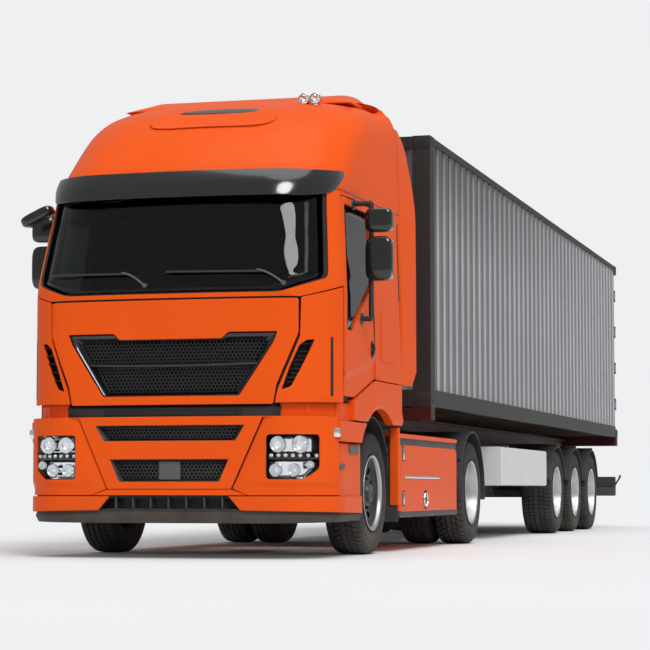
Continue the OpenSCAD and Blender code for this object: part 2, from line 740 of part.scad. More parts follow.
// Front axle: a dropped beam with a boss for each kingpin
kingpin_x = 850;
kingpin_boss_r = 52;
kingpin_boss_h = 120;
kingpin_r = 24;
beam_h = 110;
beam_w = 90;
beam_drop = 110;
beam_bend_x = 700;
beam_flat_x = 560;
spring_w = 90;
spring_x = 370;
spring_len = 1500;
spring_t = 60;
spring_pad = 60;
module front_axle() color(steel) translate([0, front_axle_at, tyre_r]) {
  difference() {
    union() {
      translate([0, beam_w / 2, 0]) rotate([90, 0, 0]) linear_extrude(beam_w) polygon([
        [-kingpin_x, beam_h / 2], [-beam_bend_x, beam_h / 2], [-beam_flat_x, beam_h / 2 - beam_drop],
        [beam_flat_x, beam_h / 2 - beam_drop], [beam_bend_x, beam_h / 2], [kingpin_x, beam_h / 2],
        [kingpin_x, -beam_h / 2], [beam_bend_x, -beam_h / 2], [beam_flat_x, -beam_h / 2 - beam_drop],
        [-beam_flat_x, -beam_h / 2 - beam_drop], [-beam_bend_x, -beam_h / 2], [-kingpin_x, -beam_h / 2]
      ]);
      for (s = [-1, 1]) translate([s * kingpin_x, 0, -kingpin_boss_h / 2])
          cylinder(r = kingpin_boss_r, h = kingpin_boss_h);
      for (s = [-1, 1]) translate([s * spring_x, 0, 0]) {
        bar(-spring_w / 2, spring_w / 2, -spring_len / 2, spring_len / 2,
            beam_h / 2 - beam_drop + spring_pad, beam_h / 2 - beam_drop + spring_pad + spring_t);
        bar(-spring_w / 2, spring_w / 2, -spring_pad, spring_pad, beam_h / 2 - beam_drop,
            beam_h / 2 - beam_drop + spring_pad);
        for (e = [-1, 1]) translate([0, e * (spring_len / 2 - spring_pad / 2), 0])
          bar(-spring_w / 2, spring_w / 2, -spring_pad / 2, spring_pad / 2,
              beam_h / 2 - beam_drop + spring_pad + spring_t / 2, frame_top - rail_h - tyre_r);
      }
    }
    for (s = [-1, 1]) translate([s * kingpin_x, 0, -kingpin_boss_h])
        cylinder(r = kingpin_r + seat_gap, h = 2 * kingpin_boss_h);
  }
}

// Steering knuckle: two ears round the beam's boss, the kingpin and the spindle
ear_t = 40;
ear_gap = 5;
spindle_r = 45;
hub_len = 130;
knuckle_stem = 40;
front_wheel_x = front_track / 2;
module knuckle() color(steel) translate([0, front_axle_at, tyre_r]) {
  for (s = [-1, 1]) translate([kingpin_x, 0, s * (kingpin_boss_h / 2 + ear_gap + ear_t / 2) - ear_t / 2])
    cylinder(r = kingpin_boss_r, h = ear_t);
  translate([kingpin_x, 0, -kingpin_boss_h / 2 - ear_gap - ear_t])
      cylinder(r = kingpin_r, h = kingpin_boss_h + 2 * (ear_gap + ear_t));
  bar(kingpin_x + kingpin_boss_r + ear_gap, kingpin_x + kingpin_boss_r + ear_gap + knuckle_stem,
      -kingpin_boss_r, kingpin_boss_r,
    -kingpin_boss_h / 2 - ear_gap - ear_t, kingpin_boss_h / 2 + ear_gap + ear_t);
  for (s = [-1, 1]) bar(kingpin_x, kingpin_x + kingpin_boss_r + ear_gap + knuckle_stem, -kingpin_boss_r,
      kingpin_boss_r,
    s * (kingpin_boss_h / 2 + ear_gap + ear_t / 2) - ear_t / 2,
        s * (kingpin_boss_h / 2 + ear_gap + ear_t / 2) + ear_t / 2);
  cross_rod(spindle_r, kingpin_x + kingpin_boss_r + ear_gap, front_wheel_x + hub_len / 2);
}

// Tyre section: crown, shoulders, sidewalls and beads, hollow towards the rim
crown_share = 0.39;
shoulder_share = 0.07;
groove_w = 12;
groove_depth = 14;
groove_shares = [-0.24, -0.08, 0.08, 0.24];
module tyre_section(w) difference() {
  polygon([
    [rim_r, -w * bead_share + seat_gap], [rim_r, w * bead_share - seat_gap],
        [rim_r + bead_rise, w * bead_share - seat_gap],
    [rim_r + (tyre_r - rim_r) / 2, w / 2], [tyre_r - 2 * tyre_wall, w / 2 - tyre_wall / 4],
    [tyre_r - shoulder_share * w, w / 2 - shoulder_share * w], [tyre_r, w * crown_share],
    [tyre_r, -w * crown_share], [tyre_r - shoulder_share * w, -w / 2 + shoulder_share * w],
    [tyre_r - 2 * tyre_wall, -w / 2 + tyre_wall / 4], [rim_r + (tyre_r - rim_r) / 2, -w / 2],
    [rim_r + bead_rise, -w * bead_share + seat_gap]
  ]);
  polygon([
    [rim_r - cut, -w * bead_share + tyre_wall], [rim_r - cut, w * bead_share - tyre_wall],
    [rim_r + (tyre_r - rim_r) / 2, w / 2 - tyre_wall],
        [tyre_r - tyre_wall - groove_depth, w * crown_share - tyre_wall],
    [tyre_r - tyre_wall - groove_depth, -w * crown_share + tyre_wall],
        [rim_r + (tyre_r - rim_r) / 2, -w / 2 + tyre_wall]
  ]);
  for (g = groove_shares) translate([tyre_r - groove_depth, g * w - groove_w / 2])
      square([groove_depth + cut, groove_w]);
}
bead_share = 0.42;
bead_rise = 30;
module tyre(w) rotate([0, 90, 0]) rotate_extrude() tyre_section(w);

// Rim: barrel with flanges, a dished disc and a hub on the spindle.
// disc is the disc's distance from the rim's middle plane, outwards
barrel_t = 12;
rim_lip = 22;
disc_t = 16;
hub_r = 110;
hub_wall = 30;
cap_r = 70;
vent_r = 26;
vent_count = 10;
vent_ring_share = 0.78;
module rim(w, disc, r_spindle) rotate([0, 90, 0]) difference() {
  union() {
    rotate_extrude() {
      for (s = [-1, 1]) translate([rim_r - barrel_t - seat_gap,
          s > 0 ? w * bead_share : -w * bead_share - rim_lip])
        square([barrel_t + rim_lip, rim_lip]);
      translate([rim_r - barrel_t - seat_gap, -w * bead_share - rim_lip])
          square([barrel_t, 2 * (w * bead_share + rim_lip)]);
      translate([r_spindle + bearing_gap, disc - disc_t])
          square([rim_r - barrel_t / 2 - r_spindle - bearing_gap, disc_t]);
      translate([r_spindle + bearing_gap, disc - hub_len])
          square([hub_r - r_spindle - bearing_gap, hub_len + hub_wall]);
    }
    translate([0, 0, disc + hub_wall - seat_gap]) cylinder(r = cap_r, h = hub_wall);
  }
  for (i = [0:vent_count - 1]) rotate([0, 0, 360 * i / vent_count])
    translate([vent_ring_share * rim_r, 0, disc - disc_t - cut]) cylinder(r = vent_r, h = disc_t + 2 * cut);
}

front_disc = 60;
module front_wheel_at() translate([front_wheel_x, front_axle_at, tyre_r]) children();
module front_tyre() color(plastic) front_wheel_at() tyre(tyre_w);
module front_rim() color(steel) front_wheel_at() rim(tyre_w, front_disc, spindle_r);

// Drive axle: tubes, a round differential housing and air springs on their arms
drive_wheel_x = drive_track / 2;
twin_x = [drive_wheel_x, drive_wheel_x - twin_pitch];
axle_tube_r = 75;
diff_r = 210;
diff_half = 170;
diff_nose = 260;
diff_nose_r = 62;
bellows_r = 115;
bellows_x = 330;
bellows_at = 420;
spring_arm_h = 60;
spring_arm_w = 80;
module drive_axle() color(steel) translate([0, drive_axle_at, tyre_r]) {
  cross_rod(axle_tube_r, -drive_wheel_x + drive_shoulder, drive_wheel_x - drive_shoulder);
  cross_rod(spindle_r, -drive_spindle_end, drive_spindle_end);
  rotate([0, 90, 0]) cylinder(r = diff_r, h = diff_half, center = true);
  along_rod(diff_nose_r, -diff_r - diff_nose / 2, 0);
  for (s = [-1, 1]) translate([s * bellows_x, 0, 0]) {
    bar(-spring_arm_w / 2, spring_arm_w / 2, -bellows_at - bellows_r, bellows_at + bellows_r,
        spring_arm_z, spring_arm_z + spring_arm_h);
    for (e = [-1, 1]) translate([0, e * bellows_at, spring_arm_z + spring_arm_h])
      cylinder(r = bellows_r, h = frame_top - rail_h - tyre_r - spring_arm_z - spring_arm_h);
  }
}
spring_arm_z = 35;
drive_shoulder = 570;
drive_spindle_end = 980;

// Twin drive wheels: the outer disc is dished inwards, the inner one outwards, both on one hub
drive_disc = 120;
module drive_tyres() color(plastic) for (x = twin_x) translate([x, drive_axle_at, tyre_r]) tyre(tyre_w);
module drive_rims() color(silver) translate([0, drive_axle_at, tyre_r]) {
  translate([twin_x[0], 0, 0]) rim(tyre_w, -drive_disc, spindle_r);
  translate([twin_x[1], 0, 0]) mirror([1, 0, 0]) rim_inner();
}
module rim_inner() rotate([0, 90, 0]) rotate_extrude() {
  for (s = [-1, 1]) translate([rim_r - barrel_t - seat_gap,
      s > 0 ? tyre_w * bead_share : -tyre_w * bead_share - rim_lip])
    square([barrel_t + rim_lip, rim_lip]);
  translate([rim_r - barrel_t - seat_gap, -tyre_w * bead_share - rim_lip])
      square([barrel_t, 2 * (tyre_w * bead_share + rim_lip)]);
  translate([hub_r, inner_disc - disc_t]) square([rim_r - barrel_t / 2 - hub_r, disc_t]);
}
inner_disc = -135;

// Fifth wheel: a slotted plate on two pedestals
plate_t = 50;
plate_half = 460;
plate_front = 380;
plate_back = 420;
throat_half = 130;
pedestal_half = 60;
pedestal_x = 330;
pedestal_len = 340;
fifth_pin_r = 25.4;
module fifth_wheel() color(steel) translate([0, kingpin_at, 0]) {
  difference() {
    plan_prism(fifth_wheel_top - plate_t, fifth_wheel_top - seat_gap) difference() {
      round_box(-plate_half, -plate_front, plate_half, plate_back, plate_front / 3);
      circle(r = fifth_pin_r + seat_gap);
      polygon([[-fifth_pin_r - seat_gap, 0], [fifth_pin_r + seat_gap, 0], [throat_half, plate_back + cut],
          [-throat_half, plate_back + cut]]);
    }
  }
  both_sides() bar(pedestal_x - pedestal_half, pedestal_x + pedestal_half, -pedestal_len / 2,
      pedestal_len / 2, frame_top, fifth_wheel_top - plate_t);
}

// Bumper: a bowed shell with two air slots and a pocket for each lamp
bumper_low = 470;
bumper_top = 1062;
bumper_half = 1245;
bumper_bow = 40;
bumper_corner = 400;
bumper_back_at = 790;
bumper_t = 45;
slot_tops = [995, 742];
slot_heights = [116, 168];
slot_half_tops = [590, 470];
slot_half_lows = [520, 400];
lamp_in = 770;
lamp_out = 1130;
lamp_low = 590;
lamp_top = 925;
lamp_round = 40;
lamp_depth = 420;
function bumper_rows(inset, low, high) = [for (z = [low, high])
  cab_outline(bumper_half - inset, inset - nose, bumper_bow, bumper_corner - inset / 2, bumper_back_at, z)];
module bumper_layer(low, high) difference() {
  loft(bumper_rows(0, low, high));
  loft([for (s = bumper_rows(bumper_t, low - cut, high + cut)) [for (v = s) [v[0],
      v[1] + (v[1] > bumper_back_at - cut ? cut : 0), v[2]]]]);
}
module bumper() color(paint) difference() {
  bumper_layer(bumper_low, bumper_top);
  for (i = [0, 1]) front_prism(-nose - cut, lamp_depth) polygon([
    [-slot_half_lows[i], slot_tops[i] - slot_heights[i]],
        [slot_half_lows[i], slot_tops[i] - slot_heights[i]],
    [slot_half_tops[i], slot_tops[i]], [-slot_half_tops[i], slot_tops[i]]
  ]);
  both_sides() front_prism(-nose - cut, lamp_depth)
      round_box(lamp_in, lamp_low, lamp_out, lamp_top, lamp_round);
}
// Lower valance of the bumper, with open slots for air
valance_low = 262;
valance_slot_low = 368;
valance_slot_top = 455;
valance_slot_w = 150;
valance_slot_count = 7;
valance_slot_pitch = 170;
module bumper_valance() color(plastic) {
  difference() {
    bumper_layer(valance_low, bumper_low - seat_gap);
    for (i = [0:valance_slot_count - 1])
      translate([(i - (valance_slot_count - 1) / 2) * valance_slot_pitch, 0, 0])
      front_prism(-nose - cut, lamp_depth) translate([-valance_slot_w / 2, valance_slot_low])
          square([valance_slot_w, valance_slot_top - valance_slot_low]);
  }
}

// Headlamps in the bumper and tail lamps on the frame
lamp_inset = 10;
tail_lamp_w = 320;
tail_lamp_h = 110;
tail_lamp_t = 60;
module lamps() color(silver) {
  both_sides() intersection() {
    difference() {
      loft(bumper_rows(lamp_inset, bumper_low, bumper_top));
      loft(bumper_rows(lamp_inset + bumper_t, bumper_low - cut, bumper_top + cut));
    }
    front_prism(-nose - cut, lamp_depth) round_box(lamp_in + seat_gap, lamp_low + seat_gap,
        lamp_out - seat_gap, lamp_top - seat_gap, lamp_round);
  }
  both_sides() bar(rail_y + seat_gap, rail_y + tail_lamp_w, frame_back_at - tail_lamp_t, frame_back_at,
      frame_top - rail_h, frame_top - rail_h + tail_lamp_h);
}

// Liners inside the front arches, with a flap behind each wheel
liner_t = 12;
liner_r = 612;
liner_in = 880;
liner_out = 1170;
liner_foot = 700;
liner_rod_r = 18;
liner_rod_z = 850;
liner_flap_low = 250;
liner_flap_top = 940;
liner_flap_out = 1225;
module arch_liners() color(plastic) both_sides() {
  side_prism(liner_in, liner_out) intersection() {
    translate([front_axle_at, tyre_r]) difference() {
      circle(r = liner_r);
      circle(r = liner_r - liner_t);
    }
    translate([front_axle_at - liner_r, liner_foot]) square([2 * liner_r, liner_r]);
  }
  for (s = [-1, 1]) translate([0, front_axle_at + s * sqrt(pow(liner_r + liner_rod_r / 2,
      2) - pow(liner_rod_z - tyre_r, 2)), liner_rod_z])
    cross_rod(liner_rod_r, rail_y + seat_gap, liner_out);
  bar(liner_in, liner_flap_out, skirt_front_at - liner_t - seat_gap, skirt_front_at - seat_gap,
      liner_flap_low, liner_flap_top);
}

// Side skirts between the axles: closed housings of the tanks and batteries
skirt_front_at = 2060;
skirt_clear = 700;
skirt_back_at = drive_axle_at - skirt_clear;
skirt_hanger_shares = [22 / 117, 62 / 117, 103 / 117];
skirt_hangers = [for (s = skirt_hanger_shares) skirt_front_at + (skirt_back_at - skirt_front_at) * s];
skirt_low = 280;
skirt_top = 985;
skirt_in = 700;
skirt_out = 1240;
skirt_round = 60;
skirt_band_low = 905;
skirt_band_h = 40;
skirt_recess = 14;
handle_w = 60;
handle_h = 160;
module side_skirts() color(paint) difference() {
  both_sides() skirt();
  side_prism(skirt_out - exhaust_pocket, skirt_out + cut) translate([exhaust_at, exhaust_z])
      circle(r = exhaust_pocket_r);
}
module skirt() difference() {
  front_prism(skirt_front_at, skirt_back_at) round_box(skirt_in, skirt_low, skirt_out, skirt_top,
      skirt_round);
  bar(skirt_out - skirt_recess, skirt_out + cut, skirt_front_at - cut, skirt_back_at + cut,
      skirt_band_low, skirt_band_low + skirt_band_h);
  for (z = [skirt_low + handle_h / 2, skirt_low + 3 * handle_h - cut])
    bar(skirt_out - 2 * skirt_recess, skirt_out + cut, skirt_front_at + 2 * handle_w,
        skirt_front_at + 3 * handle_w, z, z + handle_h);
}
// Exhaust outlet in a pocket of the left skirt
exhaust_share = 49 / 117;
exhaust_at = skirt_front_at + (skirt_back_at - skirt_front_at) * exhaust_share;
exhaust_z = 430;
exhaust_r = 62;
exhaust_wall = 5;
exhaust_pocket = 120;
exhaust_pocket_r = 85;
exhaust_proud = 10;
module exhaust_tip() color(silver) translate([0, exhaust_at, exhaust_z]) difference() {
  cross_rod(exhaust_r, skirt_out - exhaust_pocket, skirt_out + exhaust_proud);
  cross_rod(exhaust_r - exhaust_wall, skirt_out - exhaust_pocket + exhaust_wall,
      skirt_out + exhaust_proud + cut);
}

// Mudguards over the drive wheels
mudguard_r = 585;
mudguard_t = 12;
mudguard_in = 700;
mudguard_out = 1245;
mudguard_foot = 420;
mudguard_rod_r = 20;
mudguard_rod_z = 800;
module rear_mudguards() color(plastic) both_sides() {
  side_prism(mudguard_in, mudguard_out) intersection() {
    translate([drive_axle_at, tyre_r]) difference() {
      circle(r = mudguard_r);
      circle(r = mudguard_r - mudguard_t);
    }
    translate([drive_axle_at - mudguard_r, mudguard_foot]) square([2 * mudguard_r, 2 * mudguard_r]);
  }
  for (s = [-1, 1]) translate([0, drive_axle_at + s * sqrt(pow(mudguard_r,
      2) - pow(mudguard_rod_z - tyre_r, 2)), mudguard_rod_z])
    cross_rod(mudguard_rod_r, rail_y + seat_gap, mudguard_out - mudguard_rod_r);
}

// Trailer frame: two beams with a raised neck, cross members, bolsters, coupler plate and kingpin.
// The neck is a section of its own, seated on the rear frame where the beams grow deeper
neck_h = 120;
beam_depth = 400;
neck_len = 3200;
neck_ramp = 500;
beam_x = 450;
beam_web = 16;
beam_flange = 130;
flange_h = 16;
beam_set = 60;
beam_end_set = 40;
beam_lower = 20;
beam_front_at = container_at + beam_set;
beam_back_at = container_back - beam_end_set;
beam_top = container_low - beam_lower;
splice_at = beam_front_at + neck_len;
bolster_h = 110;
bolster_len = 170;
trailer_cross_count = 9;
trailer_cross_w = 100;
coupler_t = 14;
coupler_half = 430;
coupler_len = 900;
kingpin_len = 84;
module beam_outline() polygon([
  [beam_front_at, beam_top], [beam_front_at, beam_top - neck_h],
      [beam_front_at + neck_len, beam_top - neck_h],
  [beam_front_at + neck_len + neck_ramp, beam_top - beam_depth], [beam_back_at, beam_top - beam_depth],
      [beam_back_at, beam_top]
]);
module trailer_frame() color(dark_red) difference() {
  trailer_beams();
  bar(-half_box, half_box, splice_at, splice_at + seat_gap, beam_top - beam_depth - cut, beam_top + cut);
}
module trailer_beams() {
  both_sides() {
    side_prism(beam_x - beam_web / 2, beam_x + beam_web / 2) beam_outline();
    side_prism(beam_x - beam_flange / 2, beam_x + beam_flange / 2) difference() {
      beam_outline();
      beam_inner();
    }
  }
  for (i = [0:trailer_cross_count - 1]) translate([0,
      beam_front_at + (beam_back_at - beam_front_at - trailer_cross_w) * i / (trailer_cross_count - 1), 0])
    bar(-beam_x, beam_x, 0, trailer_cross_w, beam_top - neck_h + flange_h, beam_top - flange_h);
  for (y = [container_at, container_back - bolster_len])
    bar(-half_box, half_box, y, y + bolster_len, container_low - bolster_h, container_low);
  translate([0, kingpin_at, 0]) {
    bar(-coupler_half, coupler_half, -coupler_len / 2, coupler_len / 2, fifth_wheel_top,
        fifth_wheel_top + coupler_t);
    translate([0, 0, fifth_wheel_top - kingpin_len]) cylinder(r = fifth_pin_r, h = kingpin_len + coupler_t);
  }
}
module beam_inner() polygon([
  [beam_front_at - cut, beam_top - flange_h], [beam_front_at - cut, beam_top - neck_h + flange_h],
  [beam_front_at + neck_len + flange_h, beam_top - neck_h + flange_h],
  [beam_front_at + neck_len + neck_ramp + flange_h, beam_top - beam_depth + flange_h],
  [beam_back_at + cut, beam_top - beam_depth + flange_h], [beam_back_at + cut, beam_top - flange_h]
]);

// Landing legs behind the neck
leg_lead = 4150;
leg_at = container_at + leg_lead;
leg_x = 620;
leg_half = 65;
leg_low = 420;
foot_half = 110;
foot_t = 30;
foot_low = 390;
brace_h = 90;
module landing_legs() color(steel) {
  both_sides() {
    bar(leg_x - leg_half, leg_x + leg_half, leg_at - leg_half, leg_at + leg_half, leg_low,
        beam_top - beam_depth / 4);
    bar(leg_x - foot_half, leg_x + foot_half, leg_at - foot_half, leg_at + foot_half, foot_low,
        foot_low + foot_t);
    bar(beam_x + beam_flange / 2, leg_x, leg_at - leg_half, leg_at + leg_half, beam_top - beam_depth,
        beam_top - beam_depth + brace_h);
  }
  translate([0, leg_at, beam_top - beam_depth - leg_half]) cross_rod(leg_half / 3, -leg_x, leg_x);
}

// Trailer axles: tube, spindles, trailing arms and air springs
trailer_axle_at = [for (i = [0:2]) container_at + trailer_axle_lead + i * trailer_axle_pitch];
trailer_tube_r = 64;
trailer_wheel_x = trailer_track / 2;
trailer_shoulder = 250;
arm_lead = 480;
arm_w = 90;
arm_h = 60;
hanger_w = 120;
trailer_bellows_r = 130;
module trailer_axles() color(steel) for (y = trailer_axle_at) translate([0, y, tyre_r]) {
  cross_rod(trailer_tube_r, -trailer_wheel_x + trailer_shoulder, trailer_wheel_x - trailer_shoulder);
  cross_rod(spindle_r, -trailer_wheel_x - hub_len / 2, trailer_wheel_x + hub_len / 2);
  both_sides() {
    bar(beam_x - arm_w / 2, beam_x + arm_w / 2, -arm_lead, arm_lead / 2, trailer_tube_r - arm_h / 2,
        trailer_tube_r + arm_h / 2);
    bar(beam_x - hanger_w / 2, beam_x + hanger_w / 2, -arm_lead - arm_w / 2, -arm_lead + arm_w / 2,
        -arm_h, beam_top - beam_depth - tyre_r);
    translate([beam_x, arm_lead / 2 - trailer_bellows_r / 2, trailer_tube_r + arm_h / 2])
      cylinder(r = trailer_bellows_r, h = beam_top - beam_depth - tyre_r - trailer_tube_r - arm_h / 2);
  }
}

// Quarter mudguards over the trailer wheels
trailer_guard_r = 545;
trailer_guard_t = 10;
trailer_guard_in = 830;
trailer_guard_out = 1215;
trailer_guard_low = 640;
guard_stay_r = 16;
module trailer_mudguards() color(plastic) both_sides() for (y = trailer_axle_at) {
  side_prism(trailer_guard_in, trailer_guard_out) intersection() {
    translate([y, tyre_r]) difference() {
      circle(r = trailer_guard_r);
      circle(r = trailer_guard_r - trailer_guard_t);
    }
    translate([y - trailer_guard_r, trailer_guard_low]) square([2 * trailer_guard_r, 2 * trailer_guard_r]);
  }
  translate([0, y, tyre_r + trailer_guard_r + guard_stay_r - trailer_guard_t / 2])
      cross_rod(guard_stay_r, beam_x + beam_web / 2, trailer_guard_out);
}

// White lockers under the trailer's sides
locker_at = 6720;
locker_len = 2800;
locker_low = 560;
locker_h = 400;
locker_in = 780;
locker_out = 1215;
locker_round = 25;
hanger_t = 60;
module side_lockers() color("White") both_sides() {
  front_prism(locker_at, locker_at + locker_len)
      round_box(locker_in, locker_low, locker_out, locker_low + locker_h, locker_round);
  for (y = [locker_at + locker_len * hanger_share, locker_at + locker_len * (1 - hanger_share)])
    bar(beam_x + beam_web / 2, locker_in + hanger_t, y, y + hanger_t, locker_low + locker_h - hanger_t,
        locker_low + locker_h + hanger_t);
}
hanger_share = 0.15;

// Rear underrun bar on two hangers, with lamp clusters
under_low = 430;
under_h = 120;
under_t = 100;
under_half = 1190;
under_lamp_w = 380;
module underrun_bar() color(plastic) {
  bar(-under_half, under_half, container_back - under_t, container_back, under_low, under_low + under_h);
  both_sides() bar(beam_x - beam_flange / 2, beam_x + beam_flange / 2, container_back - 2 * under_t,
      container_back - under_t, under_low, beam_top - beam_depth);
  both_sides() bar(under_half - under_lamp_w, under_half, container_back, container_back + tail_room,
      under_low, under_low + under_h);
}

// Container frame: corner posts and castings, rails, sills and headers
casting_len = 178;
casting_w = 162;
casting_h = 118;
casting_slot = 124.5;
casting_slot_r = 31.75;
top_rail = 60;
bottom_rail_h = 150;
bottom_rail_w = 48;
rail_lift = 12;
post_w = 90;
rear_post_in = 32;
rear_post_back = 30;
header_depth = 100;
module container_frame() color(plastic) {
  for (sx = [-1, 1], y = [container_at, container_back - casting_len],
      z = [container_low, container_top - casting_h])
    difference() {
      bar(sx > 0 ? half_box - casting_w : -half_box, sx > 0 ? half_box : -half_box + casting_w, y,
          y + casting_len, z, z + casting_h);
      translate([sx * (half_box - casting_w / 2), y + casting_len / 2, z - cut])
          linear_extrude(casting_h + 2 * cut) slot_outline();
    }
  both_sides() {
    bar(half_box - top_rail, half_box, container_at + casting_len, container_back - casting_len,
        container_top - top_rail, container_top);
    bar(half_box - bottom_rail_w, half_box, container_at + casting_len, container_back - casting_len,
        container_low + rail_lift, container_low + rail_lift + bottom_rail_h);
    bar(half_box - casting_w, half_box, container_at, container_at + post_w, container_low + casting_h,
        container_top - casting_h);
    bar(half_box - top_rail, half_box, container_at, container_at + casting_len,
        container_low + casting_h, container_top - casting_h);
    for (z = blade_levels) {
      translate([hinge_x, hinge_at, 0]) {
        for (e = [-lug_h - seat_gap, blade_h + seat_gap]) {
          translate([0, 0, z + e]) cylinder(r = hinge_r, h = lug_h);
          bar(-half_box + hinge_x - rear_post_in, 0, -rear_post_back, 0, z + e, z + e + lug_h);
        }
        translate([0, 0, z - lug_h]) cylinder(r = hinge_pin, h = blade_h + 2 * lug_h);
      }
    }
    bar(half_box - casting_w, half_box - rear_post_in, container_back - casting_len,
        container_back - rear_post_back, container_low + casting_h, container_top - casting_h);
  }
  bar(-half_box + casting_w, half_box - casting_w, container_at, container_at + casting_len,
      container_low + rail_lift, container_low + rail_lift + bottom_rail_h);
  bar(-half_box + casting_w, half_box - casting_w, container_at, container_at + casting_len,
      container_top - header_depth, container_top);
  bar(-half_box + casting_w, half_box - casting_w, container_back - casting_len,
      container_back - rear_post_back, container_low + rail_lift,
      container_low + rail_lift + bottom_rail_h);
  bar(-half_box + casting_w, half_box - casting_w, container_back - casting_len,
      container_back - rear_post_back, container_top - header_depth, container_top);
}
module slot_outline() {
  square([2 * casting_slot_r, casting_slot - 2 * casting_slot_r], center = true);
  for (s = [-1, 1]) translate([0, s * (casting_slot / 2 - casting_slot_r)]) circle(r = casting_slot_r);
}

// Corrugated panels: trapezoidal waves of sheet between the posts and rails
sheet_t = 6;
wave_shares = [0.00, 0.26, 0.50, 0.76];
panel_inset = 8;
function wave(l, n) = [for (i = [0:n - 1]) each [
  [l * (i + wave_shares[0]) / n, 0], [l * (i + wave_shares[1]) / n, 0],
  [l * (i + wave_shares[2]) / n, corrugation_depth - sheet_t],
      [l * (i + wave_shares[3]) / n, corrugation_depth - sheet_t]
]];
function sheet(l, n) = concat(
  wave(l, n), [[l, 0], [l, sheet_t]],
  [for (i = [len(wave(l, n)) - 1:-1:0]) wave(l, n)[i] + [0, sheet_t]]
);
side_len = container_len - 2 * casting_len;
end_len = container_w - 2 * casting_w;
module container_walls() color("SlateGray") {
  both_sides() translate([half_box - panel_inset, container_at + casting_len, 0]) rotate([0, 0, 90])
    plan_prism(container_low + rail_lift + bottom_rail_h, container_top - top_rail)
      polygon(sheet(side_len, round(side_len / corrugation)));
  translate([-end_len / 2, container_at + panel_inset, 0])
    plan_prism(container_low + rail_lift + bottom_rail_h, container_top - header_depth)
      polygon(sheet(end_len, round(end_len / corrugation)));
  translate([0, container_at + casting_len, container_top - panel_inset - corrugation_depth])
      rotate([90, 0, 90])
    translate([0, 0, -half_box + top_rail]) linear_extrude(container_w - 2 * top_rail)
      polygon(sheet(side_len, round(side_len / corrugation)));
}

// Container floor: boards on cross bearers between the bottom rails
board_t = 28;
bearer_w = 45;
bearer_count = 30;
bearer_rise = 18;
module container_floor() color("Sienna") {
  bar(-half_box + bottom_rail_w, half_box - bottom_rail_w, container_at + casting_len,
      container_back - casting_len,
    container_low + rail_lift + bottom_rail_h - board_t, container_low + rail_lift + bottom_rail_h);
  for (i = [0:bearer_count - 1]) translate([0,
      container_at + casting_len + (container_len - 2 * casting_len - bearer_w) * i / (bearer_count - 1),
      0])
    bar(-half_box + bottom_rail_w, half_box - bottom_rail_w, 0, bearer_w,
        container_low + rail_lift + bearer_rise, container_low + rail_lift + bottom_rail_h - board_t);
}

// Container doors: framed panels with lock rods, hung on the rear posts
post_hinge_in = 20;
post_hinge_back = 14;
hinge_x = half_box - post_hinge_in;
hinge_at = container_back - post_hinge_back;
hinge_r = 10;
hinge_pin = 5;
lug_h = 24;
door_set = 76;
door_t = 46;
rod_r = 17;
rod_off = 26;
rod_shares = [0.28, 0.76];
blade_t = 12;
blade_h = 110;
blade_count = 4;
door_half_gap = 4;
door_lift = 6;
keeper_h = 60;
leaf_low = container_low + rail_lift + bottom_rail_h + door_lift;
leaf_top = container_top - header_depth - door_lift;
blade_levels = [for (i = [0:blade_count - 1])
  leaf_low + (leaf_top - leaf_low - blade_h) * (i + 1 / 2) / blade_count
];
module container_door() color("SlateGray") {
  z0 = leaf_low;
  z1 = leaf_top;
  x1 = half_box - casting_w - door_lift;
  y1 = hinge_at - door_set;
  bar(door_half_gap, x1, y1 - door_t, y1, z0, z1);
  for (s = rod_shares) translate([door_half_gap + (x1 - door_half_gap) * s, y1 + rod_off, 0]) {
    translate([0, 0, z0]) cylinder(r = rod_r, h = z1 - z0);
    for (z = [z0, (z0 + z1) / 2, z1 - keeper_h]) bar(-2 * rod_r, 2 * rod_r, -rod_off, 0, z, z + keeper_h);
  }
  for (z = blade_levels) difference() {
    union() {
      bar(x1 - blade_t, x1, y1 - door_t, hinge_at + blade_t / 2, z, z + blade_h);
      bar(x1 - blade_t, hinge_x, hinge_at - blade_t / 2, hinge_at + blade_t / 2, z, z + blade_h);
      translate([hinge_x, hinge_at, z]) cylinder(r = hinge_r, h = blade_h);
    }
    translate([hinge_x, hinge_at, z - cut]) cylinder(r = hinge_pin + seat_gap, h = blade_h + 2 * cut);
  }
}

trailer_disc = 40;
module trailer_wheel(i) translate([trailer_wheel_x, trailer_axle_at[i], tyre_r]) color(plastic) {
  tyre(trailer_tyre_w);
  rim(trailer_tyre_w, trailer_disc, spindle_r);
}

place() tractor_frame();
place() engine_block();
place() front_axle();
place() drive_axle();
place() bumper();
place() bumper_valance();
place() lamps();
place() arch_liners();
place() side_skirts();
place() exhaust_tip();
place() rear_mudguards();
place() fifth_wheel();
place() cab_shell();
place() cab_floor();
place() front_fenders();
place() cab_roof();
place() windscreen();
place() sun_visor();
place() side_deflectors();
place() roof_lamps();
place() dashboard();
place() seats();
place() steering_wheel();
place() front_flap();
place() grille();
place() hung_door();  // door_left
place() door_glass();  // door_left_glass
place() mirrors();  // mirrors_left
place() mirror([1, 0, 0]) hung_door();  // door_right
place() mirror([1, 0, 0]) door_glass();  // door_right_glass
place() mirror([1, 0, 0]) mirrors();  // mirrors_right
place() knuckle();  // knuckle_left
place() mirror([1, 0, 0]) knuckle();  // knuckle_right
place() front_tyre();  // tyre_front_left
place() front_rim();  // rim_front_left
place() mirror([1, 0, 0]) front_tyre();  // tyre_front_right
place() mirror([1, 0, 0]) front_rim();  // rim_front_right
place() drive_tyres();  // tyres_drive_left
place() drive_rims();  // rims_drive_left
place() mirror([1, 0, 0]) drive_tyres();  // tyres_drive_right
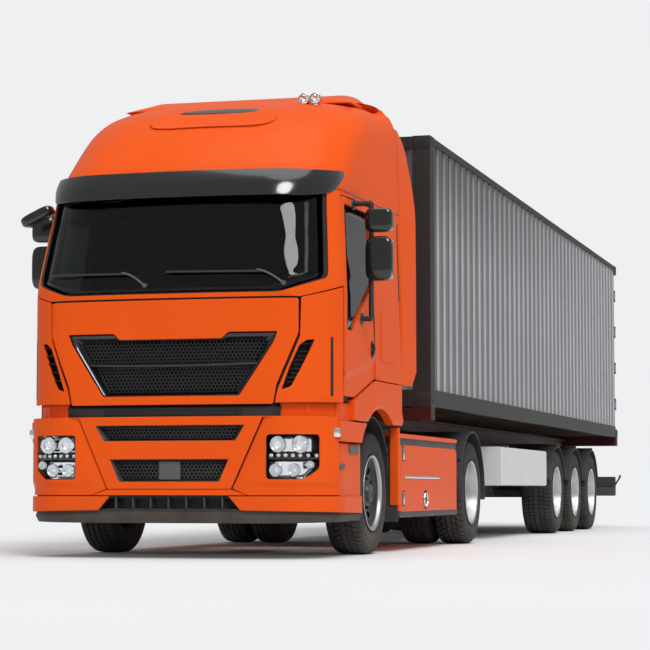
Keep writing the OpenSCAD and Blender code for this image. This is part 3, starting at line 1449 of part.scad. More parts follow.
place() mirror([1, 0, 0]) drive_rims();  // rims_drive_right
place() trailer_frame();
place() landing_legs();
place() trailer_axles();
place() trailer_mudguards();
place() side_lockers();
place() underrun_bar();
place() container_frame();
place() container_walls();
place() container_floor();
place() container_door();  // container_door_left
place() mirror([1, 0, 0]) container_door();  // container_door_right
place() trailer_wheel(0);  // trailer_wheel_1_left
place() mirror([1, 0, 0]) trailer_wheel(0);  // trailer_wheel_1_right
place() trailer_wheel(1);  // trailer_wheel_2_left
place() mirror([1, 0, 0]) trailer_wheel(1);  // trailer_wheel_2_right
place() trailer_wheel(2);  // trailer_wheel_3_left
place() mirror([1, 0, 0]) trailer_wheel(2);  // trailer_wheel_3_right
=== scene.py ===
"""Looks of an articulated container lorry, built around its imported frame.

Lengths are metres, +Z is up, the front points to -Y and the lorry's left side is +X.
Places are written as (across, station, height). Stations run backwards along the lorry
from a zero just behind the bumper's nose, and station zero is found from the frame.
"""

import math

import bmesh
import bpy
import numpy as np
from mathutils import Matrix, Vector


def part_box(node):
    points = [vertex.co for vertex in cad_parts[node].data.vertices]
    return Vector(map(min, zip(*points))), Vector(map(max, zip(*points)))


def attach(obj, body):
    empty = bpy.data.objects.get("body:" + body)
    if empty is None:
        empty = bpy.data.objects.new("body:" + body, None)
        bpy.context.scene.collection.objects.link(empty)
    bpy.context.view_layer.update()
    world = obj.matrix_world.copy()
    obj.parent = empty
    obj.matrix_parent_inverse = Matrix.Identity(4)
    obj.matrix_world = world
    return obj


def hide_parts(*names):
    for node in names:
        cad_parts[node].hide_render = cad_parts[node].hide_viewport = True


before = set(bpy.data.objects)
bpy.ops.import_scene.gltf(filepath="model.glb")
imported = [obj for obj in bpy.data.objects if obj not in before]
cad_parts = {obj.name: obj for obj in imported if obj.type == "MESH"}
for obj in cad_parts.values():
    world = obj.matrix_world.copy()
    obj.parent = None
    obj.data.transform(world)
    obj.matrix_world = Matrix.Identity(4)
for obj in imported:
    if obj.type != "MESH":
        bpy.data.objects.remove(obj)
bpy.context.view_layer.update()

bl_info = {
    "name": "Container lorry looks",
    "version": (1, 0, 0),
    "blender": (4, 5, 0),
    "location": "3D View > Sidebar > Lorry",
    "description": "Dresses the frame of a container lorry with modelled panels and finishes",
    "category": "Object",
}

# Stations and levels shared by several pieces
CONTAINER_AT = 3.360
ZERO_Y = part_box("container_frame")[0].y - CONTAINER_AT
CONTAINER_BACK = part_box("container_frame")[1].y - ZERO_Y
DOOR_RODS_AT = CONTAINER_BACK - 0.064
HALF_CAB = 1.245
CAB_FRONT = -0.175
CAB_BACK = 2.150
CAB_LOW = 1.104
BELT = 1.985
HEADER = 2.810
ROOF_TOP = 3.720
DOOR_FRONT = 0.262
DOOR_FRONT_TOP = 0.450
DOOR_TOP = 2.775
BUMPER_FRONT = -0.200
BUMPER_LOW = 0.470
BUMPER_TOP = 1.062
BUMPER_EDGE = 1.060
BUMPER_FOOT = 0.474
BUMPER_BACK = 0.790
VALANCE_LOW = 0.262
AXLE_AT = 1.400
TYRE_R = 0.490
FRONT_WHEEL_X = 1.030
DRIVE_AT = 5.100
DRIVE_WHEELS_X = (1.085, 0.745)
TRAILER_WHEEL_X = 1.025
TRAILER_AXLE_AT = 10.360
TRAILER_AXLE_STEP = 1.380
ARCH_FOOT = 0.49
ARCH_RISE = 0.67
ARCH_HALF = 0.74

# Mesh limits: the angle in degrees past which an edge stays hard, and the reach within which points join
HARD_EDGE = 36.0
WELD = 2e-5

# Camera of the picture: its place as across, station and height, its turn upwards and to the side
CAMERA_LENS = 122.38
CAMERA_AT = (5.4799, -15.8286, 0.5134)
CAMERA_UP = 0.0745
CAMERA_ASIDE = 0.2664


# Curves and grids


def smooth_through(x, knots, values):
    """Monotone cubic through the knots: the slope at a knot is the harmonic mean of the rises beside it."""
    x = np.asarray(x, float)
    knots = np.asarray(knots, float)
    values = np.asarray(values, float)
    step = np.diff(knots)
    rise = np.diff(values) / step
    slope = np.concatenate([rise[:1], np.zeros(len(values) - 2), rise[-1:]])
    same = rise[:-1] * rise[1:] > 0
    total = np.where(same, rise[:-1] + rise[1:], 1.0)
    slope[1:-1] = np.where(same, 2 * rise[:-1] * rise[1:] / total, 0.0)
    i = np.clip(np.searchsorted(knots, x, side="right") - 1, 0, len(step) - 1)
    t = (x - knots[i]) / step[i]
    t2, t3 = t * t, t * t * t
    return (
        values[i] * (2 * t3 - 3 * t2 + 1)
        + values[i + 1] * (3 * t2 - 2 * t3)
        + slope[i] * step[i] * (t3 - 2 * t2 + t)
        + slope[i + 1] * step[i] * (t3 - t2)
    )


def loop(corners, radius, per_side=8, per_corner=4):
    """Closed outline: straight sides between the corners, each corner a quadratic curve of that reach."""
    corner = np.asarray(corners, float)
    before, after = np.roll(corner, 1, 0), np.roll(corner, -1, 0)

    def reach(towards):
        step = towards - corner
        length = np.linalg.norm(step, axis=1, keepdims=True)
        return corner + step / length * np.minimum(radius, 0.45 * length)

    start, end = reach(before), reach(after)
    t = np.linspace(0, 1, per_corner + 1)[:, None, None]
    bend = (1 - t) ** 2 * start + 2 * t * (1 - t) * corner + t**2 * end
    u = np.linspace(0, 1, per_side + 1)[1:-1, None, None]
    straight = (1 - u) * end + u * np.roll(start, -1, 0)
    return np.concatenate([bend, straight]).transpose(1, 0, 2).reshape(-1, corner.shape[1])


def resized(corners, centre, share):
    """Outline drawn in or out about a centre, by one share or one for each direction."""
    return (np.asarray(corners) - centre) * share + centre


def between(inner, outer, rows):
    """Rows of points from one loop to another with as many points, by straight steps."""
    t = np.linspace(0, 1, rows)[:, None, None]
    return (1 - t) * np.asarray(inner)[None] + t * np.asarray(outer)[None]


def quads(rows, cols, close_rows=False, close_cols=False):
    """Corner numbers of a grid's faces, where the points run along each row in turn."""
    r = np.arange(rows if close_rows else rows - 1)
    c = np.arange(cols if close_cols else cols - 1)
    a, b = np.meshgrid(r, c, indexing="ij")
    a2, b2 = (a + 1) % rows, (b + 1) % cols
    corners = [a * cols + b, a * cols + b2, a2 * cols + b2, a2 * cols + b]
    return np.stack(corners, -1).reshape(-1, 4)


class Shape:
    """Points and faces gathered from several surfaces, in across, station and height."""

    def __init__(self):
        self.points = np.zeros((0, 3))
        self.faces = []

    def add(self, points, faces):
        """Takes in one surface: its points and the corner numbers of its faces."""
        start = len(self.points)
        self.points = np.concatenate([self.points, np.asarray(points, float).reshape(-1, 3)])
        self.faces += (np.asarray(faces) + start).tolist()
        return self

    def grid(self, points, close_rows=False, close_cols=False, keep=None):
        """Takes in a grid of points, rows by columns, leaving out the faces that keep marks as false."""
        rows, cols = points.shape[:2]
        faces = quads(rows, cols, close_rows, close_cols)
        return self.add(points, faces if keep is None else faces[np.asarray(keep).ravel()])

    def cap(self, ring):
        """Closes a ring of points with one face."""
        return self.add(ring, [list(range(len(ring)))])

    def join(self, other):
        """Takes in another shape."""
        start = len(self.points)
        self.points = np.concatenate([self.points, other.points])
        self.faces += [[i + start for i in face] for face in other.faces]
        return self

    def mirrored(self):
        """The same shape on the lorry's other side."""
        twin = Shape()
        twin.points = self.points * (-1, 1, 1)
        twin.faces = [face[::-1] for face in self.faces]
        return twin

    def both_sides(self):
        """The shape with its twin on the other side."""
        return Shape().join(self).join(self.mirrored())

    def moved(self, x=0.0, s=0.0, z=0.0):
        """The same shape carried by these distances."""
        twin = Shape()
        twin.points = self.points + (x, s, z)
        twin.faces = list(self.faces)
        return twin


def capped(rings):
    """Closed body: rings of points joined in turn, with a face at each end."""
    return Shape().grid(rings, close_cols=True).cap(rings[0]).cap(rings[-1])


# Each side's name, its sign across the lorry, and what carries a left-hand shape there
SIDES = (("left", 1, lambda shape: shape), ("right", -1, Shape.mirrored))


def tube(path, radius, sides=12, closed=False):
    """Round bar: a circle carried along a path, square to the path's direction at each point."""
    path = np.asarray(path, float)
    if closed:
        ahead = np.roll(path, -1, 0) - np.roll(path, 1, 0)
    else:
        ahead = np.gradient(path, axis=0)
    ahead /= np.linalg.norm(ahead, axis=1, keepdims=True)
    spread = np.linalg.svd(path - path.mean(0))[2][-1]
    side = np.cross(ahead, spread)
    side /= np.linalg.norm(side, axis=1, keepdims=True)
    up = np.cross(side, ahead)
    turn = np.linspace(0, 2 * np.pi, sides, endpoint=False)[None, :, None]
    reach = np.broadcast_to(np.asarray(radius, float), (len(path),))[:, None, None]
    rings = path[:, None] + reach * (np.cos(turn) * side[:, None] + np.sin(turn) * up[:, None])
    shape = Shape().grid(rings, close_rows=closed, close_cols=True)
    if not closed:
        shape.cap(rings[0]).cap(rings[-1])
    return shape


def turned(profile, centre, sides=48, axis="x", closed=True):
    """Turned form: a profile of (offset along the axis, radius) spun round an axis through the centre."""
    profile = np.asarray(profile, float)
    turn = np.linspace(0, 2 * np.pi, sides, endpoint=False)[:, None]
    along = np.broadcast_to(profile[None, :, 0], (sides, len(profile)))
    a, b = profile[:, 1] * np.cos(turn), profile[:, 1] * np.sin(turn)
    order = {"x": (along, a, b), "s": (a, along, b), "z": (a, b, along)}[axis]
    points = np.stack(order, -1) + np.asarray(centre, float)
    shape = Shape().grid(points, close_rows=True)
    if closed:
        shape.cap(points[:, 0]).cap(points[:, -1])
    return shape


def slab(low, high, radius):
    """Block with rounded edges: stacked rounded rectangles, drawn in at the ends by a quarter circle."""
    low, high = np.asarray(low, float), np.asarray(high, float)
    radius = min(radius, 0.49 * float((high - low).min()))
    turn = np.linspace(0, np.pi / 2, 4)
    inset = np.concatenate([radius * (1 - np.sin(turn)), radius * (1 - np.cos(turn))])
    level = np.concatenate([low[2] + radius * (1 - np.cos(turn)), high[2] - radius * (1 - np.sin(turn))])
    corner = np.array([[0, 0], [1, 0], [1, 1], [0, 1]], float)
    base = loop(low[:2] + corner * (high - low)[:2], radius, 3, 4)
    middle = (low[:2] + high[:2]) / 2
    half = (high - low)[:2] / 2
    size = (half[None] - inset[:, None]) / half[None]
    rings = middle + (base - middle)[None] * size[:, None]
    points = np.concatenate([rings, np.broadcast_to(level[:, None, None], (*rings.shape[:2], 1))], -1)
    return capped(points)


def slabs(boxes, radius):
    """Several rounded blocks as one shape, each given as its low and high corner."""
    shape = Shape()
    for low, high in boxes:
        shape.join(slab(low, high, radius))
    return shape


# The cab's and the bumper's outer form


class Skin:
    """Outer form of the cab or the bumper.

    In plan it has a front bowed by a parabola, a round corner that carries on from the bow's slope,
    and a straight side that widens towards the back. The five sizes that set the plan follow the
    height by smooth curves. A point is named by its distance round the plan from the middle of the
    front, positive to the left, and its height.
    """

    def __init__(self, levels, plans, back):
        self.levels = np.asarray(levels, float)
        self.plans = np.asarray(plans, float)
        self.back = back

    def plan(self, z, depth=0.0):
        """The plan at a height: flat half, front, bow, corner radius, first turn, side's start, flare."""
        columns = [smooth_through(z, self.levels, column) for column in self.plans.T]
        half, front, bow, corner, flare = columns
        corner = corner - depth / 2
        flat = half - depth - corner
        first = np.arctan(2 * bow / flat)
        radius = corner / (1 - np.sin(first))
        front = front + depth
        return flat, front, bow, radius, first, front + bow + radius * np.cos(first), flare

    def lay(self, a, z, depth=0.0):
        """Points at these distances round the plan and heights, sunk below the skin by depth."""
        a, z, depth = np.broadcast_arrays(np.asarray(a, float), np.asarray(z, float), depth)
        flat, front, bow, radius, first, side_at, flare = self.plan(z, depth)
        way = np.abs(a)
        ahead = np.minimum(way, flat)
        turn = np.clip(first + (way - flat) / radius, first, np.pi / 2)
        along = np.maximum(way - flat - radius * (np.pi / 2 - first), 0)
        x = ahead + radius * (np.sin(turn) - np.sin(first)) + flare * along / (self.back - side_at)
        s = front + bow * (ahead / flat) ** 2 + radius * (np.cos(first) - np.cos(turn)) + along
        return np.stack([np.sign(a) * x, s, z], -1)

    def across(self, x, z):
        """Distance round the plan to the place this far across the front."""
        x, z = np.broadcast_arrays(np.asarray(x, float), np.asarray(z, float))
        flat, _, _, radius, first, _, _ = self.plan(z)
        way = np.abs(x)
        turn = np.arcsin(np.clip((way - flat) / radius + np.sin(first), -1, 1))
        return np.sign(x) * np.where(way <= flat, way, flat + radius * (turn - first))

    def along(self, s, z):
        """Distance round the plan to the place at this station of the left side."""
        s, z = np.broadcast_arrays(np.asarray(s, float), np.asarray(z, float))
        flat, front, bow, radius, first, side_at, _ = self.plan(z)
        turn = np.arccos(np.clip(np.cos(first) - (s - front - bow) / radius, -1, 1))
        past = flat + radius * (np.pi / 2 - first) + s - side_at
        return np.where(s >= side_at, past, flat + radius * (turn - first))

    def front_points(self, corners):
        """Corners given across the front and in height, as distances round the plan and heights."""
        corners = np.asarray(corners, float)
        return np.column_stack([self.across(corners[:, 0], corners[:, 1]), corners[:, 1]])

    def side_points(self, corners):
        """Corners given along the left side and in height, as distances round the plan and heights."""
        corners = np.asarray(corners, float)
        return np.column_stack([self.along(corners[:, 0], corners[:, 1]), corners[:, 1]])

    def front_loop(self, corners, radius, per_side, per_corner):
        """Rounded outline on the front."""
        return loop(self.front_points(corners), radius, per_side, per_corner)

    def side_loop(self, corners, radius, per_side, per_corner):
        """Rounded outline on the left side."""
        return loop(self.side_points(corners), radius, per_side, per_corner)

    def drape(self, flat_points, depth=0.0):
        """Grid of (distance round, height) laid on the skin."""
        return self.lay(flat_points[..., 0], flat_points[..., 1], depth)

    def ring(self, hole, outline, rows=7, depth=0.0):
        """Panel between a hole and an outline on the skin."""
        return Shape().grid(self.drape(between(hole, outline, rows), depth), close_cols=True)

    def sheet(self, outline, rows=6, depth=0.0):
        """Panel without a hole: rings that shrink to the outline's middle."""
        middle = outline.mean(0)
        share = np.linspace(1, 0.02, rows)[:, None, None]
        rings = middle + (outline - middle)[None] * share
        points = self.drape(rings, depth)
        return Shape().grid(points, close_cols=True).cap(points[-1])


# Columns: share of the height, then half width, setback of the front, bow, corner radius and
# widening towards the back, all as shares of half the cab's width
WALL_SHARES = np.array([
    [0.000, 1.000, 0.000, 0.030, 0.350, 0.000],
    [0.516, 1.000, 0.000, 0.030, 0.350, 0.000],
    [0.760, 0.972, 0.062, 0.034, 0.352, 0.016],
    [1.000, 0.940, 0.140, 0.040, 0.358, 0.042],
])
ROOF_SHARES = np.array([
    [0.16, 0.940, 0.225, 0.036, 0.410, 0.040],
    [0.38, 0.940, 0.380, 0.036, 0.455, 0.036],
    [0.60, 0.936, 0.570, 0.036, 0.480, 0.034],
    [0.78, 0.912, 0.790, 0.034, 0.485, 0.040],
    [0.91, 0.850, 1.060, 0.030, 0.465, 0.064],
    [0.98, 0.770, 1.310, 0.020, 0.430, 0.100],
    [1.00, 0.845, 1.400, 0.020, 0.340, 0.000],
])


def cab_skin():
    """The cab's outer form from the sill to the roof's crown."""
    wall_z = CAB_LOW + (HEADER - CAB_LOW) * WALL_SHARES[:, 0]
    roof_z = HEADER + (ROOF_TOP - HEADER) * ROOF_SHARES[:, 0]
    plans = HALF_CAB * np.concatenate([WALL_SHARES, ROOF_SHARES])[:, 1:]
    plans[:, 1] += CAB_FRONT
    return Skin(np.concatenate([wall_z, roof_z]), plans, CAB_BACK)


def bumper_skin():
    """The bumper's outer form: one plan from the lip to the top edge."""
    plan = [HALF_CAB, BUMPER_FRONT, 0.040, 0.400, 0.0]
    return Skin([VALANCE_LOW, BUMPER_LOW, BUMPER_TOP], [plan] * 3, BUMPER_BACK)


CAB = cab_skin()
BUMPER = bumper_skin()


# Finishes


def put(tree, kind, inputs=None, **settings):
    """Adds a node, with its settings and with values or links on its inputs."""
    made = tree.nodes.new(kind)
    for key, value in settings.items():
        setattr(made, key, value)
    for key, value in (inputs or {}).items():
        if isinstance(value, bpy.types.NodeSocket):
            tree.links.new(value, made.inputs[key])
        else:
            made.inputs[key].default_value = value
    return made


def calc(tree, operation, *values):
    """Result of one sum on values or links."""
    return put(tree, "ShaderNodeMath", dict(enumerate(values)), operation=operation).outputs[0]


def rescale(tree, value, low, high, to_low=0.0, to_high=1.0):
    """Value carried from one range to another and held at the ends."""
    ends = {"From Min": low, "From Max": high, "To Min": to_low, "To Max": to_high}
    return put(tree, "ShaderNodeMapRange", {"Value": value, **ends}).outputs[0]


def blend(tree, share, first, second):
    """Colour between two colours, by a share from 0 to 1."""
    inputs = {"Factor": share, "A": first, "B": second}
    return put(tree, "ShaderNodeMix", inputs, data_type="RGBA").outputs["Result"]


def dim(tree, colour, level):
    """Colour times a number."""
    return put(tree, "ShaderNodeVectorMath", {0: colour, "Scale": level}, operation="SCALE").outputs[0]


def times(tree, first, second):
    """Two colours or places multiplied channel by channel."""
    return put(tree, "ShaderNodeVectorMath", {0: first, 1: second}, operation="MULTIPLY").outputs[0]


def object_place(tree):
    """Place on the piece, in the lorry's own frame."""
    return put(tree, "ShaderNodeTexCoord").outputs["Object"]


def noise(tree, place, scale, **more):
    """Cloudy noise from 0 to 1."""
    extra = {key.title(): value for key, value in more.items()}
    return put(tree, "ShaderNodeTexNoise", {"Vector": place, "Scale": scale, **extra}).outputs["Fac"]


def emboss(tree, shader, height, distance, strength):
    """Puts a height on a shader as bump."""
    bump = put(tree, "ShaderNodeBump", {"Height": height, "Distance": distance, "Strength": strength})
    tree.links.new(bump.outputs["Normal"], shader.inputs["Normal"])


def new_material(name):
    """Material with its node tree and its shader."""
    made = bpy.data.materials.new(name)
    made.use_nodes = True
    return made, made.node_tree, made.node_tree.nodes["Principled BSDF"]


def new_group(name, inputs, outputs):
    """Shader node group with named sockets: each input is a name, a kind and a default."""
    tree = bpy.data.node_groups.new(name, "ShaderNodeTree")
    for socket, kind, value in inputs:
        made = tree.interface.new_socket(socket, in_out="INPUT", socket_type=kind)
        made.default_value = value
    for socket, kind in outputs:
        tree.interface.new_socket(socket, in_out="OUTPUT", socket_type=kind)
    return tree, tree.nodes.new("NodeGroupInput"), tree.nodes.new("NodeGroupOutput")


def road_dust_group():
    """Dust that settles low on the lorry: a fade with height, broken up by noise."""
    tree, given, out = new_group(
        "Road dust",
        [
            ("Colour", "NodeSocketColor", (0.5, 0.5, 0.5, 1)),
            ("Dust colour", "NodeSocketColor", (0.30, 0.26, 0.21, 1)),
            ("Height", "NodeSocketFloat", 1.2),
            ("Amount", "NodeSocketFloat", 0.3),
        ],
        [("Colour", "NodeSocketColor"), ("Mask", "NodeSocketFloat")],
    )
    place = object_place(tree)
    height = put(tree, "ShaderNodeSeparateXYZ", {"Vector": place}).outputs["Z"]
    fade = rescale(tree, height, given.outputs["Height"], 0.0)
    cloud = noise(tree, place, 3.5, detail=5.0, roughness=0.62)
    patch = rescale(tree, cloud, 0.32, 0.72, 0.15, 1.0)
    mask = calc(tree, "MULTIPLY", calc(tree, "MULTIPLY", fade, patch), given.outputs["Amount"])
    dusty = blend(tree, mask, given.outputs["Colour"], given.outputs["Dust colour"])
    tree.links.new(dusty, out.inputs["Colour"])
    tree.links.new(mask, out.inputs["Mask"])
    return tree


def tone_group():
    """Slow drift of a colour's lightness over a surface: broad noise times the colour."""
    tree, given, out = new_group(
        "Tone drift",
        [
            ("Colour", "NodeSocketColor", (0.5, 0.5, 0.5, 1)),
            ("Scale", "NodeSocketFloat", 2.0),
            ("Drift", "NodeSocketFloat", 0.12),
        ],
        [("Colour", "NodeSocketColor"), ("Value", "NodeSocketFloat")],
    )
    cloud = noise(tree, object_place(tree), given.outputs["Scale"], detail=4.0, roughness=0.55)
    swing = calc(tree, "MULTIPLY", calc(tree, "SUBTRACT", cloud, 0.5), given.outputs["Drift"])
    level = calc(tree, "ADD", swing, 1.0)
    tree.links.new(dim(tree, given.outputs["Colour"], level), out.inputs["Colour"])
    tree.links.new(cloud, out.inputs["Value"])
    return tree


def grain_group():
    """Fine grain of a moulded or rolled surface: noise plus cells of the same scale, as a height."""
    tree, given, out = new_group(
        "Fine grain",
        [("Scale", "NodeSocketFloat", 400.0), ("Stretch", "NodeSocketVector", (1, 1, 1))],
        [("Height", "NodeSocketFloat")],
    )
    spread = times(tree, object_place(tree), given.outputs["Stretch"])
    coarse = noise(tree, spread, given.outputs["Scale"], detail=2.0)
    cells = put(tree, "ShaderNodeTexVoronoi", {"Vector": spread, "Scale": given.outputs["Scale"]})
    tree.links.new(calc(tree, "ADD", coarse, cells.outputs["Distance"]), out.inputs["Height"])
    return tree


def wear_group():
    """Wear along edges: where the surface turns sharply outwards, broken up by noise."""
    tree, given, out = new_group(
        "Edge wear",
        [("Amount", "NodeSocketFloat", 0.5), ("Scale", "NodeSocketFloat", 30.0)],
        [("Mask", "NodeSocketFloat")],
    )
    sharp = rescale(tree, put(tree, "ShaderNodeNewGeometry").outputs["Pointiness"], 0.53, 0.66)
    speck = noise(tree, object_place(tree), given.outputs["Scale"], detail=6.0)
    broken = rescale(tree, speck, 0.42, 0.62)
    mask = calc(tree, "MULTIPLY", calc(tree, "MULTIPLY", sharp, broken), given.outputs["Amount"])
    tree.links.new(mask, out.inputs["Mask"])
    return tree


def corrugation_light_and_shade_group():
    """Bands of painted light and shade on the container's side sheets, and painted shade that thins out
    downwards and towards the back.

    The crests, flanks and valleys are told apart by their distance from the middle plane: the flanks stay
    bright as a painted highlight, and the crests and, deeper still, the valleys get painted shade. The
    painted shade at the top follows the distance along the lorry and the height.
    """
    tree, given, out = new_group(
        "Painted corrugation light and shade",
        [
            ("Colour", "NodeSocketColor", (0.5, 0.5, 0.5, 1)),
            ("Crest", "NodeSocketFloat", 1.211),
            ("Valley", "NodeSocketFloat", 1.181),
            ("Front", "NodeSocketFloat", -4.3),
            ("Back", "NodeSocketFloat", 6.0),
        ],
        [("Colour", "NodeSocketColor")],
    )
    axes = put(tree, "ShaderNodeSeparateXYZ", {"Vector": object_place(tree)})
    across = calc(tree, "ABSOLUTE", axes.outputs["X"])
    sheet = calc(tree, "GREATER_THAN", across, 1.165)
    deep = rescale(tree, across, given.outputs["Crest"], given.outputs["Valley"])
    # Ramp across the corrugation: painted highlight on the flanks, painted shade on the crests and deeper
    # painted shade in the valleys
    stripes = put(tree, "ShaderNodeValToRGB", {"Fac": deep})
    ramp = stripes.color_ramp
    ramp.elements[0].color = (0.40, 0.40, 0.40, 1)
    ramp.elements[1].color = (0.20, 0.20, 0.20, 1)
    for at, level in ((0.12, 0.42), (0.36, 1.0), (0.62, 1.0), (0.88, 0.24)):
        ramp.elements.new(at).color = (level, level, level, 1)
    waves = blend(tree, sheet, (0.60, 0.60, 0.60, 1), stripes.outputs["Color"])
    # Painted shade at the top front that thins out downwards and towards the back
    back = rescale(tree, axes.outputs["Y"], given.outputs["Front"], given.outputs["Back"])
    high = rescale(tree, axes.outputs["Z"], 2.7, 3.6)
    top_front_shade = calc(tree, "MULTIPLY", high, calc(tree, "SUBTRACT", 1.0, back))
    shade_base_level = calc(tree, "MULTIPLY_ADD", back, 0.05, 0.84)
    painted_shade_level = calc(tree, "MULTIPLY_ADD", top_front_shade, -0.50, shade_base_level)
    banded = times(tree, given.outputs["Colour"], waves)
    tree.links.new(dim(tree, banded, painted_shade_level), out.inputs["Colour"])
    return tree


GROUP_MAKERS = {
    "Road dust": road_dust_group,
    "Painted corrugation light and shade": corrugation_light_and_shade_group,
    "Tone drift": tone_group,
    "Fine grain": grain_group,
    "Edge wear": wear_group,
}


def use_group(tree, name, inputs):
    """Places a shared effect in a material, building it the first time."""
    group = bpy.data.node_groups.get(name) or GROUP_MAKERS[name]()
    return put(tree, "ShaderNodeGroup", inputs, node_tree=group)


def finish(
    name, colour, roughness=0.5, metallic=0.0, drift=0.12, drift_scale=2.0, dust=0.25, dust_height=1.2,
    grain=400.0, grain_depth=0.0004, stretch=(1, 1, 1), wear=0.0, wear_colour=(0.35, 0.34, 0.33),
    dust_colour=(0.30, 0.26, 0.21), valleys=False, **sockets,
):
    """Material of one finish: drifting tone, dust low down, fine grain as bump and roughness, worn edges."""
    made, tree, shader = new_material(name)
    tone = use_group(tree, "Tone drift", {"Colour": (*colour, 1), "Scale": drift_scale, "Drift": drift})
    painted = tone.outputs["Colour"]
    if wear:
        worn = use_group(tree, "Edge wear", {"Amount": wear}).outputs["Mask"]
        painted = blend(tree, worn, painted, (*wear_colour, 1))
    # Painted light and shade on the corrugation, and painted shade at the top front
    if valleys:
        painted = use_group(tree, "Painted corrugation light and shade", {"Colour": painted}).outputs["Colour"]
    dusty = use_group(
        tree, "Road dust",
        {"Colour": painted, "Dust colour": (*dust_colour, 1), "Height": dust_height, "Amount": dust},
    )
    tree.links.new(dusty.outputs["Colour"], shader.inputs["Base Color"])
    height = use_group(tree, "Fine grain", {"Scale": grain, "Stretch": stretch}).outputs["Height"]
    emboss(tree, shader, height, grain_depth, 0.6)
    low = max(roughness - 0.06, 0.0)
    spread = rescale(tree, tone.outputs["Value"], 0.0, 1.0, low, roughness + 0.06)
    matt = calc(tree, "MULTIPLY_ADD", dusty.outputs["Mask"], 0.6, spread)
    tree.links.new(matt, shader.inputs["Roughness"])
    shader.inputs["Metallic"].default_value = metallic
    for key, value in sockets.items():
        shader.inputs[key.replace("_", " ").title().replace("Ior", "IOR")].default_value = value
    return made


def glass(name, tint, smear, bend):
    """Glass: full transmission with a plain tint, its roughness lifted a little by wiped streaks."""
    made, tree, shader = new_material(name)
    shader.inputs["Transmission Weight"].default_value = 1.0
    shader.inputs["IOR"].default_value = bend
    tone = use_group(tree, "Tone drift", {"Colour": (*tint, 1), "Scale": 1.4, "Drift": 0.16})
    tree.links.new(tone.outputs["Colour"], shader.inputs["Base Color"])
    streak = use_group(tree, "Fine grain", {"Scale": 6.0, "Stretch": (1, 1, 5)}).outputs["Height"]
    tree.links.new(rescale(tree, streak, 0.0, 1.6, 0.0, smear), shader.inputs["Roughness"])
    return made


def cloth(name, colour, thread):
    """Woven seat cloth: two crossed waves make the weave's height and its light and dark threads."""
    made, tree, shader = new_material(name)
    place = object_place(tree)
    waves = [
        put(
            tree, "ShaderNodeTexWave", {"Vector": place, "Scale": thread, "Distortion": 0.6},
            bands_direction=direction,
        ).outputs["Fac"]
        for direction in ("X", "Z")
    ]
    weave = calc(tree, "MULTIPLY", *waves)
    tone = use_group(tree, "Tone drift", {"Colour": (*colour, 1), "Scale": 9.0, "Drift": 0.3})
    light = tuple(1.7 * c for c in colour) + (1,)
    threads = blend(tree, weave, tone.outputs["Colour"], light)
    tree.links.new(threads, shader.inputs["Base Color"])
    emboss(tree, shader, weave, 0.001, 0.8)
    shader.inputs["Roughness"].default_value = 0.9
    shader.inputs["Sheen Weight"].default_value = 0.3
    return made


def boards(name, colour):
    """Hardwood floor boards: noise stretched along the boards gives the grain and its dark rings."""
    made, tree, shader = new_material(name)
    inputs = {"Vector": object_place(tree), "Scale": (1.0, 0.06, 1.0)}
    long = put(tree, "ShaderNodeMapping", inputs).outputs["Vector"]
    rings = noise(tree, long, 24.0, detail=6.0, distortion=1.2)
    tone = use_group(tree, "Tone drift", {"Colour": (*colour, 1), "Scale": 1.5, "Drift": 0.4})
    dark = tuple(0.45 * c for c in colour) + (1,)
    tree.links.new(blend(tree, rings, tone.outputs["Colour"], dark), shader.inputs["Base Color"])
    emboss(tree, shader, rings, 0.002, 0.5)
    shader.inputs["Roughness"].default_value = 0.7
    return made


